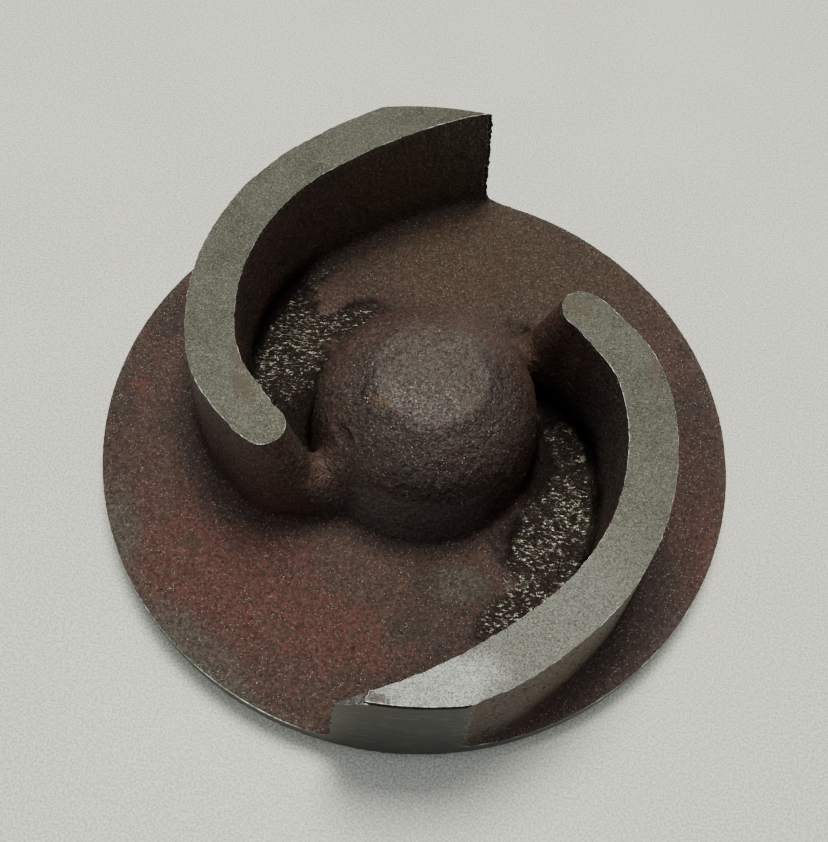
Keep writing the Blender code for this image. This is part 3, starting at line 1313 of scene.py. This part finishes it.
class Recipe:
    """A Geometry Nodes tree with named inputs, run once on a piece."""

    def __init__(self, name: str, inputs: dict[str, Any]) -> None:
        """Start the tree.

        Args:
            name: Name of the tree.
            inputs: Value of each named input; its type sets the socket's type.
        """
        self.tree = bpy.data.node_groups.new(name, "GeometryNodeTree")
        self.inputs = inputs
        kinds = {int: "NodeSocketInt", float: "NodeSocketFloat",
                 bpy.types.Material: "NodeSocketMaterial"}
        face = self.tree.interface
        face.new_socket("Geometry", in_out="INPUT", socket_type="NodeSocketGeometry")
        for title, value in inputs.items():
            face.new_socket(title, in_out="INPUT", socket_type=kinds[type(value)])
        face.new_socket("Geometry", in_out="OUTPUT", socket_type="NodeSocketGeometry")
        self.graph = Graph(self.tree)
        sockets = self.graph.node("NodeGroupInput", {}, {})
        self.shape = sockets[0]
        self.value = dict(zip(inputs, sockets[1:]))

    def node(self, kind: str, settings: dict[str, Any], values: dict[Any, Any]) -> list[Socket]:
        """Add one node to the tree."""
        return self.graph.node(kind, settings, values)

    def blurred(self, place: Socket, rounds: Socket, weight: Any = 1.0) -> Socket:
        """Each point's place, averaged with its neighbours' a number of times.

        Args:
            place: The points' places.
            rounds: How many times.
            weight: How much a point gives way, zero to one.

        Returns:
            The averaged places.
        """
        return self.node("GeometryNodeBlurAttribute", {"data_type": "FLOAT_VECTOR"},
                         {"Value": place, "Iterations": rounds, "Weight": weight})[0]

    def push(self, shape: Socket, amount: Socket) -> Socket:
        """Move a surface along its normals.

        Args:
            shape: The geometry.
            amount: How far outwards, in metres.

        Returns:
            The moved geometry.
        """
        outward = self.node("GeometryNodeInputNormal", {}, {})[0]
        offset = self.node("ShaderNodeVectorMath", {"operation": "SCALE"},
                           {"Vector": outward, "Scale": amount})[0]
        return self.node("GeometryNodeSetPosition", {}, {"Geometry": shape, "Offset": offset})[0]

    def finished(self, shape: Socket, finish: Socket) -> Socket:
        """Realize a shape's instances and give it a material."""
        real = self.node("GeometryNodeRealizeInstances", {}, {"Geometry": shape})[0]
        return self.node("GeometryNodeSetMaterial", {}, {"Geometry": real, "Material": finish})[0]

    def run(self, piece: bpy.types.Object, shape: Socket) -> bpy.types.Object:
        """End the tree and apply it.

        Args:
            piece: The object that the tree works on.
            shape: The geometry that the tree gives back.

        Returns:
            The object that replaces the piece.
        """
        self.node("NodeGroupOutput", {}, {0: shape})
        step = piece.modifiers.new(self.tree.name, "NODES")
        step.node_group = self.tree
        for item in self.tree.interface.items_tree:
            if item.in_out == "INPUT" and item.name in self.inputs:
                step[item.identifier] = self.inputs[item.name]
        return baked(piece)


@dataclass
class MouldedSkin:
    """Rounds a blank's inner corners and gives it the lumps and knobs of a sand mould.

    The saddles, where the webs run into the hub, are smoothed further and filled out. The
    dents are a groove in the hub's shoulder and a dimple on the disc.
    """

    voxel: float = 0.78 * MM
    smoothing: int = 10
    lump_size: float = 14.0 * MM
    lump_depth: float = 0.26 * MM
    knob_size: float = 4.6 * MM
    knob_depth: float = 0.34 * MM
    grit_size: float = 1.7 * MM
    grit_depth: float = 0.36 * MM
    hub_radius: float = 44.0 * MM
    hub_fade: float = 4.0 * MM
    saddle: Vector = field(default_factory=lambda: Vector((-27.0 * MM, -26.0 * MM, 34.0 * MM)))
    saddle_reach: float = 14.0 * MM
    saddle_smoothing: int = 70
    saddle_fill: float = 2.8 * MM
    saddle_core: float = 0.4
    fill_share: float = 0.75
    dents: tuple[tuple[Spot, float], ...] = (
        (Spot(-24.5, -21.5, 6.5, 2.2, -53), 1.1 * MM),
        (Spot(-71.4, -50.2, 3.6, 3.1), 0.4 * MM))
    keep: float = 0.52

    def saddles(self, graph: Graph, here: Socket) -> tuple[Any, Any]:
        """Find the places where the webs run into the hub.

        Args:
            graph: The node tree.
            here: The points' places.

        Returns:
            How near each point is to a saddle, and how far it is filled out there.
        """
        east, north, up = graph.parts(here)
        near: Any = 0.0
        fill: Any = 0.0
        for side in (1.0, -1.0):
            off = ((east - self.saddle.x * side) ** 2.0 + (north - self.saddle.y * side) ** 2.0
                   + (up - self.saddle.z) ** 2.0) ** 0.5
            near = off.above(self.saddle_reach, self.saddle_reach * self.saddle_core) + near
            fill = off.above(self.saddle_reach * self.fill_share, 0.0) * self.saddle_fill + fill
        return near, fill

    def swell(self, recipe: Recipe, here: Socket, fill: Socket) -> Socket:
        """Add the mould's lumps, knobs and grit to the saddles' fill, and take off the dents.

        Args:
            recipe: The skin's recipe.
            here: The points' places.
            fill: How far the saddles are filled out.

        Returns:
            How far outwards each point moves.
        """
        east, north, _ = recipe.graph.parts(here)
        near_hub = recipe.graph.radius(here).above(self.hub_radius + self.hub_fade,
                                                   self.hub_radius - self.hub_fade)
        amount = fill
        for title, detail in (("Lump", 1.0), ("Knob", 1.5), ("Grit", 1.0)):
            wave = recipe.graph.noise(here, 1.0 / recipe.value[title + " size"], detail)
            swing = (wave - 0.5) * recipe.value[title + " depth"] * 2.0
            if title == "Knob":
                swing = swing * (0.55 + near_hub * 0.75)
            amount = swing + amount
        for spot, depth in self.dents:
            amount = amount - spot.depth(east, north).above(0.0, 0.5) * depth
        return amount

    def apply(self, blank: bpy.types.Object) -> bpy.types.Object:
        """Fuse a blank's overlapping solids and mould their skin.

        Args:
            blank: One object that holds the solids.

        Returns:
            The moulded blank.
        """
        remesh = blank.modifiers.new("fuse", "REMESH")
        remesh.mode = "VOXEL"
        remesh.voxel_size = self.voxel
        recipe = Recipe("moulded_skin", {
            "Smoothing": self.smoothing, "Saddle smoothing": self.saddle_smoothing,
            "Lump size": self.lump_size, "Lump depth": self.lump_depth,
            "Knob size": self.knob_size, "Knob depth": self.knob_depth,
            "Grit size": self.grit_size, "Grit depth": self.grit_depth})
        here = recipe.node("GeometryNodeInputPosition", {}, {})[0]
        near, fill = self.saddles(recipe.graph, here)
        soft = recipe.blurred(here, recipe.value["Smoothing"])
        soft = recipe.blurred(soft, recipe.value["Saddle smoothing"], near)
        shape = recipe.node("GeometryNodeSetPosition", {},
                            {"Geometry": recipe.shape, "Position": soft})[0]
        moulded = recipe.run(baked(blank), recipe.push(shape, self.swell(recipe, here, fill)))
        thin = moulded.modifiers.new("thin", "DECIMATE")
        thin.ratio = self.keep
        return baked(moulded)


@dataclass
class CornerBreak:
    """The corner knocked off the outer end of the first vane."""

    point: Vector
    normal: Vector = field(default_factory=lambda: Vector((-0.622, 0.026, 0.783)).normalized())
    size: float = 20.0 * MM
    roughness: float = 0.6 * MM
    cells: int = 44

    def build(self) -> bpy.types.Object:
        """Make the block whose crumpled lower face cuts the corner off.

        Returns:
            The cutter.
        """
        bm = bmesh.new()
        bmesh.ops.create_grid(bm, x_segments=self.cells, y_segments=self.cells,
                              size=self.size / 2)
        for vert in bm.verts:
            coarse = noise.noise(vert.co / (3.1 * MM))
            fine = noise.noise(vert.co / (0.9 * MM))
            vert.co.z = self.roughness * (coarse + 0.45 * fine)
        lid = bmesh.ops.extrude_face_region(bm, geom=list(bm.faces))["geom"]
        for vert in lid:
            if isinstance(vert, bmesh.types.BMVert):
                vert.co.z = self.size
        turn = self.normal.to_track_quat("Z", "Y").to_matrix().to_4x4()
        bmesh.ops.transform(bm, matrix=Matrix.Translation(self.point) @ turn, verts=bm.verts)
        bmesh.ops.recalc_face_normals(bm, faces=bm.faces)
        return from_bmesh("corner_break", bm)

    def near(self, centre: np.ndarray) -> np.ndarray:
        """Which points lie on the broken face.

        Args:
            centre: Points, one row each.

        Returns:
            True where a point is on the break.
        """
        offset = centre - np.array(self.point)
        return ((abs(offset @ np.array(self.normal)) < 1.5 * self.roughness)
                & (np.hypot(offset[:, 0], offset[:, 1]) < 0.7 * self.size))


@dataclass
class Casting:
    """The whole impeller, moulded and then machined.

    The front vane's tail has a flare and a trim of its own, and a corner knocked off it.
    """

    rim_radius: float
    top_height: float
    back_height: float = 6.0 * MM
    disc_thickness: float = 7.0 * MM
    boss_radius: float = 38.0 * MM
    boss_fillet: float = 3.0 * MM
    boss_chamfer: float = 1.0 * MM
    edge_break: float = 0.6 * MM
    pilot_radius: float = 18.0 * MM
    pilot_depth: float = 9.0 * MM
    pilot_chamfer: float = 1.2 * MM
    bore_radius: float = 14.0 * MM
    bore_depth: float = 40.0 * MM
    drill_point: float = 59.0 * DEG
    thread_depth: float = 1.0 * MM
    thread_start: float = 12.0 * MM
    thread_end: float = 36.0 * MM
    top_edge_break: float = 0.65 * MM
    sliver: float = 0.002 * MM
    sharp_angle: float = 42.0 * DEG
    overrun: float = 2.0 * MM
    fillet_steps: int = 8
    bore_steps: int = 128
    steps: int = 256
    front_flare: float = 2.2 * MM
    front_flare_length: float = 32.0 * MM
    front_trim: float = 1.6 * MM
    chip_place: Point2 = (-6.3 * MM, -107.6 * MM)
    skin: MouldedSkin = field(default_factory=MouldedSkin)

    @property
    def face_height(self) -> float:
        """Height of the disc's upper face."""
        return self.back_height + self.disc_thickness

    def envelope(self) -> bpy.types.Object:
        """What the lathe leaves: vane tops, outside diameter, back face and boss.

        Returns:
            The solid that the machined part stays inside.
        """
        fillet = arc((self.boss_radius + self.boss_fillet, self.back_height - self.boss_fillet),
                     self.boss_fillet, 0.5 * math.pi, math.pi, self.fillet_steps)
        profile = [(0.0, self.top_height),
                   (self.rim_radius - self.top_edge_break, self.top_height),
                   (self.rim_radius, self.top_height - self.top_edge_break),
                   (self.rim_radius, self.back_height + self.edge_break),
                   (self.rim_radius - self.edge_break, self.back_height), *fillet,
                   (self.boss_radius, self.boss_chamfer),
                   (self.boss_radius - self.boss_chamfer, 0.0), (0.0, 0.0)]
        return turned("lathe_envelope", profile, self.steps)

    def bore(self) -> bpy.types.Object:
        """The cutter of the blind bore, its thread's groove bottom and its pilot.

        Returns:
            The cutter.
        """
        mouth = self.pilot_radius + self.pilot_chamfer
        point = self.bore_radius / math.tan(self.drill_point)
        thread_radius = self.bore_radius + self.thread_depth
        profile = [(0.0, self.bore_depth + point), (self.bore_radius, self.bore_depth),
                   (self.bore_radius, self.thread_end + self.thread_depth),
                   (thread_radius, self.thread_end), (thread_radius, self.thread_start),
                   (self.bore_radius, self.thread_start - self.thread_depth),
                   (self.bore_radius, self.pilot_depth), (self.pilot_radius, self.pilot_depth),
                   (self.pilot_radius, self.pilot_chamfer), (mouth, 0.0),
                   (mouth, -self.overrun), (0.0, -self.overrun)]
        return turned("bore_cutter", profile, self.bore_steps)

    def blank(self) -> bpy.types.Object:
        """The rough casting, as its overlapping solids in one mesh.

        Returns:
            One object that holds the solids.
        """
        sizes = (self.rim_radius, self.face_height, self.top_height)
        solids = [Disc(self.rim_radius, self.face_height).build(),
                  Hub(self.face_height).build(),
                  Vane(*sizes, flare=self.front_flare, flare_length=self.front_flare_length,
                       trim=self.front_trim).build(),
                  Vane(*sizes, turn=math.pi).build()]
        bm = bmesh.new()
        for solid in solids:
            bm.from_mesh(solid.data)
            bpy.data.objects.remove(solid, do_unlink=True)
        return from_bmesh("rough_blank", bm)

    def surface_of(self, centre: np.ndarray, normal: np.ndarray,
                   chip: CornerBreak) -> np.ndarray:
        """Which surface each face belongs to, from its place and direction.

        Args:
            centre: Face centres, one row each.
            normal: Face normals, one row each.
            chip: The broken corner.

        Returns:
            Material index of each face.
        """
        radius = np.hypot(centre[:, 0], centre[:, 1])
        height = centre[:, 2]
        outside = radius > self.rim_radius - self.top_edge_break
        upright = abs(normal[:, 2]) < 0.2
        chamfered = height > self.top_height - 0.9 * self.top_edge_break
        faced = (height > self.top_height - 0.02 * MM) & (normal[:, 2] > 0.99)
        bored = (radius < self.pilot_radius + 0.1 * MM) & (height < self.bore_depth + 10 * MM)
        index = np.full(len(centre), Surface.CAST.value)
        index[chip.near(centre)] = Surface.BROKEN.value
        index[outside & (upright | chamfered)] = Surface.TURNED_RIM.value
        index[faced] = Surface.FACED_TOP.value
        index[height < self.back_height + 0.01 * MM] = Surface.TURNED_BACK.value
        index[bored] = Surface.BORED.value
        return index

    def deburr(self, mesh: bpy.types.Mesh) -> None:
        """Close up the slivers that the cuts left in a mesh.

        Args:
            mesh: The machined mesh, which is changed in place.
        """
        bm = bmesh.new()
        bm.from_mesh(mesh)
        bmesh.ops.triangulate(bm, faces=bm.faces)
        bmesh.ops.dissolve_degenerate(bm, edges=bm.edges, dist=self.sliver)
        bmesh.ops.triangulate(bm, faces=bm.faces)
        bm.to_mesh(mesh)
        bm.free()

    def with_relief_and_hollow(self, work: bpy.types.Object) -> bpy.types.Object:
        """Store how pitted each point of the surface is, and how deep in a broad hollow, which the
        primer darkens as painted shade and some dirt.

        Args:
            work: The machined casting.

        Returns:
            The casting with its relief (mm below the skin nearby) and hollow attributes.
        """
        recipe = Recipe("relief_and_hollow", {"Near": 4, "Far": 60})
        here = recipe.node("GeometryNodeInputPosition", {}, {})[0]
        outward = recipe.node("GeometryNodeInputNormal", {}, {})[0]
        shape = recipe.shape
        for name, reach in (("relief", "Near"), ("hollow", "Far")):
            mean = recipe.blurred(here, recipe.value[reach])
            offset = recipe.node("ShaderNodeVectorMath", {"operation": "SUBTRACT"},
                                 {0: mean, 1: here})[0]
            depth = recipe.node("ShaderNodeVectorMath", {"operation": "DOT_PRODUCT"},
                                {0: offset, 1: outward})[0]
            shape = recipe.node("GeometryNodeStoreNamedAttribute", {"domain": "POINT"},
                                {"Geometry": shape, "Name": name, "Value": depth / MM})[0]
        return recipe.run(work, shape)

    def build(self) -> bpy.types.Object:
        """Mould the blank, machine it and dress its surfaces.

        Returns:
            The finished casting.
        """
        chip = CornerBreak(Vector((*self.chip_place, self.top_height)))
        work = self.skin.apply(self.blank())
        work = machine(work, self.envelope(), Op.KEEP_INSIDE)
        work = machine(work, self.bore(), Op.CUT_AWAY)
        work = machine(work, chip.build(), Op.CUT_AWAY)
        self.deburr(work.data)
        work = self.with_relief_and_hollow(work)
        mesh = work.data
        work.name = mesh.name = "machined_casting"
        count = len(mesh.polygons)
        centre, normal = np.empty(count * 3), np.empty(count * 3)
        mesh.polygons.foreach_get("center", centre)
        mesh.polygons.foreach_get("normal", normal)
        index = self.surface_of(centre.reshape(-1, 3), normal.reshape(-1, 3), chip)
        mesh.materials.clear()
        for finish in (PrimedSkin(), FacedTop(), TurnedRim(), TurnedBack(), BoredIron(),
                       BrokenIron()):
            mesh.materials.append(finish.material())
        mesh.polygons.foreach_set("material_index", index.astype(np.int32))
        mesh.shade_smooth()
        mesh.set_sharp_from_angle(angle=self.sharp_angle)
        return work


@dataclass
class EdgeBurrs:
    """Thin ragged lips of bright iron that the tool left along the machined edges.

    A bit of edge shorter than `shortest` spacings gets none.
    """

    top: float
    disc_top: float
    size: float = 0.17 * MM
    spacing: float = 0.5 * MM
    shortest: float = 3.0
    sides: int = 5
    patch_scale: float = 110.0
    ragged_scale: float = 1100.0
    bright_spots: tuple[Spot, ...] = (
        Spot(-66, -21, 9, 4, 130),
        Spot(-52, -33, 7, 4, -25),
        Spot(0, 103, 14, 5, 28),
        Spot(62, -6, 26, 5, 105),
        Spot(5, -109, 20, 3, 2),
        Spot(-40, -102, 20, 5, -24))

    def edges(self, casting: bpy.types.Object) -> bpy.types.Object:
        """The casting's edges between a cut face and its cast skin, as a wire.

        Args:
            casting: The finished casting.

        Returns:
            A mesh of edges alone.
        """
        bm = bmesh.new()
        bm.from_mesh(casting.data)
        cut = {Surface.FACED_TOP.value, Surface.TURNED_RIM.value, Surface.BROKEN.value}
        keep = []
        for edge in bm.edges:
            kinds = {face.material_index for face in edge.link_faces}
            if len(kinds) == 2 and kinds & cut and not kinds & {Surface.TURNED_BACK.value}:
                keep.append(edge)
        wire = bmesh.new()
        copies = {vert: wire.verts.new(vert.co) for edge in keep for vert in edge.verts}
        for edge in keep:
            wire.edges.new([copies[vert] for vert in edge.verts])
        bmesh.ops.remove_doubles(wire, verts=wire.verts, dist=self.spacing / 10)
        bm.free()
        return from_bmesh("edge_burrs", wire)

    def build(self, casting: bpy.types.Object) -> bpy.types.Object:
        """Sweep a thin ragged bead along the edges.

        Args:
            casting: The finished casting.

        Returns:
            The burrs.
        """
        recipe = Recipe("edge_burrs", {"Size": self.size, "Spacing": self.spacing,
                                       "Finish": BrightBurr().material()})
        path = recipe.node("GeometryNodeMeshToCurve", {}, {"Mesh": recipe.shape})[0]
        length = recipe.node("GeometryNodeSplineLength", {}, {})[0]
        path = recipe.node("GeometryNodeDeleteGeometry", {"domain": "CURVE"}, {
            "Geometry": path,
            "Selection": recipe.value["Spacing"] * self.shortest - length})[0]
        path = recipe.node("GeometryNodeResampleCurve", {"mode": "LENGTH"},
                           {"Curve": path, "Length": recipe.value["Spacing"]})[0]
        here = recipe.node("GeometryNodeInputPosition", {}, {})[0]
        chance = recipe.graph.noise(here, self.patch_scale, 3.0, 0.6)
        patchy = patch(recipe.graph, here, self.bright_spots, (chance - 0.5) * 2.0, 0.3)
        patchy = patchy.larger(chance.above(0.44, 0.68) * 0.7)
        up = recipe.graph.parts(here)[2]
        level = up.above(self.top - 2 * MM, self.top - MM).larger(
            up.above(self.disc_top + 3 * MM, self.disc_top + MM))
        patchy = patchy * (0.2 + level * 0.8)
        ragged = recipe.graph.noise(here, self.ragged_scale, 1.0)
        section = recipe.node("GeometryNodeCurvePrimitiveCircle", {},
                              {"Resolution": self.sides, "Radius": recipe.value["Size"]})[0]
        bead = recipe.node("GeometryNodeCurveToMesh", {}, {
            "Curve": path, "Profile Curve": section, "Fill Caps": True,
            "Scale": 0.12 + patchy * (0.25 + ragged * 1.1)})[0]
        return recipe.run(self.edges(casting), recipe.finished(bead, recipe.value["Finish"]))


@dataclass
class BoreThread:
    """The right-hand thread that holds the impeller on its shaft."""

    core_radius: float = 14.0 * MM
    pitch: float = 2.0 * MM
    start: float = 12.2 * MM
    turns: int = 11
    depth: float = 1.0 * MM
    ridge_share: float = 0.72
    steps: int = 96

    def build(self) -> bpy.types.Object:
        """Sweep the thread's ridge up its helix.

        Returns:
            The thread's ridge.
        """
        seat = as_object("bore_thread", bpy.data.meshes.new("bore_thread"))
        recipe = Recipe("bore_thread", {
            "Core radius": self.core_radius, "Pitch": self.pitch, "Turns": self.turns,
            "Start": self.start, "Depth": self.depth, "Steps": self.steps,
            "Finish": BoredIron().material()})
        value = recipe.value
        line = value["Core radius"] + value["Depth"] * self.ridge_share
        helix = recipe.node("GeometryNodeCurveSpiral", {}, {
            "Resolution": value["Steps"], "Rotations": value["Turns"], "Start Radius": line,
            "End Radius": line, "Height": value["Pitch"] * value["Turns"], "Reverse": True})[0]
        lift = recipe.node("ShaderNodeCombineXYZ", {}, {"Z": value["Start"]})[0]
        helix = recipe.node("GeometryNodeTransform", {},
                            {"Geometry": helix, "Translation": lift})[0]
        helix = recipe.node("GeometryNodeSetCurveNormal", {"mode": "Z_UP"}, {"Curve": helix})[0]
        section = recipe.node("GeometryNodeCurvePrimitiveCircle", {},
                              {"Resolution": 3, "Radius": value["Depth"] * self.ridge_share})[0]
        section = recipe.node("GeometryNodeTransform", {}, {
            "Geometry": section, "Rotation": (0.0, 0.0, math.pi)})[0]
        ridge = recipe.node("GeometryNodeCurveToMesh", {}, {
            "Curve": helix, "Profile Curve": section, "Fill Caps": True})[0]
        return recipe.run(seat, recipe.finished(ridge, value["Finish"]))


@dataclass
class SandGrains:
    """Grains of moulding sand fused into the cast skin under the primer."""

    per_square_metre: float = 42000.0
    smallest: float = 0.16 * MM
    largest: float = 0.46 * MM
    stretch: Point2 = (0.8, 1.5)
    flatness: float = 0.62
    seed: int = 11
    stretch_seed: int = 5

    def build(self, casting: bpy.types.Object) -> bpy.types.Object:
        """Scatter half-sunk grains over the cast faces alone.

        Args:
            casting: The finished casting.

        Returns:
            The grains.
        """
        recipe = Recipe("sand_grains", {
            "Density": self.per_square_metre, "Smallest": self.smallest,
            "Largest": self.largest, "Seed": self.seed,
            "Finish": casting.data.materials[Surface.CAST.value]})
        value = recipe.value
        kind = recipe.node("GeometryNodeInputMaterialIndex", {}, {})[0]
        cast = recipe.node("FunctionNodeCompare",
                           {"data_type": "INT", "operation": "LESS_THAN"},
                           {0: kind, 1: Surface.FACED_TOP.value})[0]
        points, _, lie = recipe.node("GeometryNodeDistributePointsOnFaces", {}, {
            "Mesh": recipe.shape, "Selection": cast, "Density": value["Density"],
            "Seed": value["Seed"]})
        grain = recipe.node("GeometryNodeMeshIcoSphere", {},
                            {"Radius": 1.0, "Subdivisions": 1})[0]
        grain = recipe.node("GeometryNodeSetShadeSmooth", {}, {"Geometry": grain})[0]
        size = recipe.node("FunctionNodeRandomValue", {"data_type": "FLOAT"}, {
            "Min": value["Smallest"], "Max": value["Largest"], "Seed": value["Seed"]})[0]
        long = recipe.node("FunctionNodeRandomValue", {"data_type": "FLOAT"}, {
            "Min": self.stretch[0], "Max": self.stretch[1], "Seed": self.stretch_seed})[0]
        shape = recipe.node("ShaderNodeCombineXYZ", {},
                            {"X": size * long, "Y": size, "Z": size * self.flatness})[0]
        scattered = recipe.node("GeometryNodeInstanceOnPoints", {}, {
            "Points": points, "Instance": grain, "Rotation": lie, "Scale": shape})[0]
        made = recipe.run(as_object("sand_grains", casting.data.copy()),
                          recipe.finished(scattered, value["Finish"]))
        finish = made.data.materials[-1]
        made.data.materials.clear()
        made.data.materials.append(finish)
        return made


@dataclass(frozen=True)
class Lamp:
    """A soft square lamp that faces the part: its side in metres and its power in watts."""

    name: str
    place: Point3
    size: float
    power: float
    colour: Colour

    def build(self) -> None:
        """Hang the lamp."""
        data = bpy.data.lights.new(self.name, "AREA")
        data.size, data.energy, data.color = self.size, self.power, self.colour
        obj = link(bpy.data.objects.new(self.name, data))
        obj.location = self.place
        obj.rotation_euler = (-Vector(self.place)).to_track_quat("-Z", "Y").to_euler()


@dataclass
class Studio:
    """Table, lights and camera."""

    camera_place: Point3 = (0.0, -193.0 * MM, 381.1 * MM)
    pitch: float = 60.62 * DEG
    yaw: float = 3.466 * DEG
    roll: float = 9.694 * DEG
    lens: float = 49.955
    sensor: float = 36.0
    shift: Point2 = (-0.0538, -0.0187)
    clip: Point2 = (0.01, 50.0)
    table_size: float = 30.0
    lamps: tuple[Lamp, ...] = (
        Lamp("ceiling_lamp", (-0.02, 0.40, 1.5), 0.56, 25.0, (1.0, 0.985, 0.92)),
        Lamp("ceiling_glow", (-0.3, 0.2, 2.2), 2.8, 10.0, (1.0, 0.99, 0.95)))
    sky_colour: Colour = (0.82, 0.91, 1.0)
    sky_strength: float = 0.41

    def camera(self) -> None:
        """Set the camera at the photograph's viewing angle."""
        data = bpy.data.cameras.new("camera")
        data.lens, data.sensor_width, data.sensor_height = self.lens, self.sensor, self.sensor
        data.shift_x, data.shift_y = self.shift
        data.clip_start, data.clip_end = self.clip
        forward = Vector((math.sin(self.yaw) * math.cos(self.pitch),
                          math.cos(self.yaw) * math.cos(self.pitch), -math.sin(self.pitch)))
        level = Vector((math.cos(self.yaw), -math.sin(self.yaw), 0.0))
        upright = level.cross(forward)
        right = level * math.cos(self.roll) + upright * math.sin(self.roll)
        up = upright * math.cos(self.roll) - level * math.sin(self.roll)
        turn = Matrix((right, up, -forward)).transposed()
        obj = link(bpy.data.objects.new("camera", data))
        obj.matrix_world = Matrix.Translation(self.camera_place) @ turn.to_4x4()
        bpy.context.scene.camera = obj

    def build(self) -> None:
        """Make the table, lamps and world."""
        bm = bmesh.new()
        bmesh.ops.create_grid(bm, x_segments=1, y_segments=1, size=self.table_size / 2)
        table = from_bmesh("table", bm)
        table.data.materials.append(PaleTable().material())
        for lamp in self.lamps:
            lamp.build()
        world = bpy.data.worlds.new("studio")
        world.use_nodes = True
        sky = world.node_tree.nodes["Background"]
        sky.inputs["Color"].default_value = (*self.sky_colour, 1.0)
        sky.inputs["Strength"].default_value = self.sky_strength
        bpy.context.scene.world = world


def carry(piece: bpy.types.Object) -> None:
    """Let a piece ride on the casting's body, and log its face count.

    Args:
        piece: A finished piece.
    """
    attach(piece, BODY)
    LOG.info("%s: %d faces", piece.name, len(piece.data.polygons))


def main() -> None:
    """Build the part and its studio, and report each piece."""
    logging.basicConfig(level=logging.INFO, format="%(name)s: %(message)s")
    studio = Studio()
    studio.camera()
    _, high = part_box(NODE)
    sizes = Casting(rim_radius=high.x, top_height=high.z)
    casting = sizes.build()
    burrs = EdgeBurrs(sizes.top_height, sizes.face_height).build(casting)
    grains = SandGrains().build(casting)
    thread = BoreThread().build()
    for piece in (casting, burrs, grains, thread):
        carry(piece)
    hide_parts(NODE)
    studio.build()


if __name__ == "__main__":
    main()
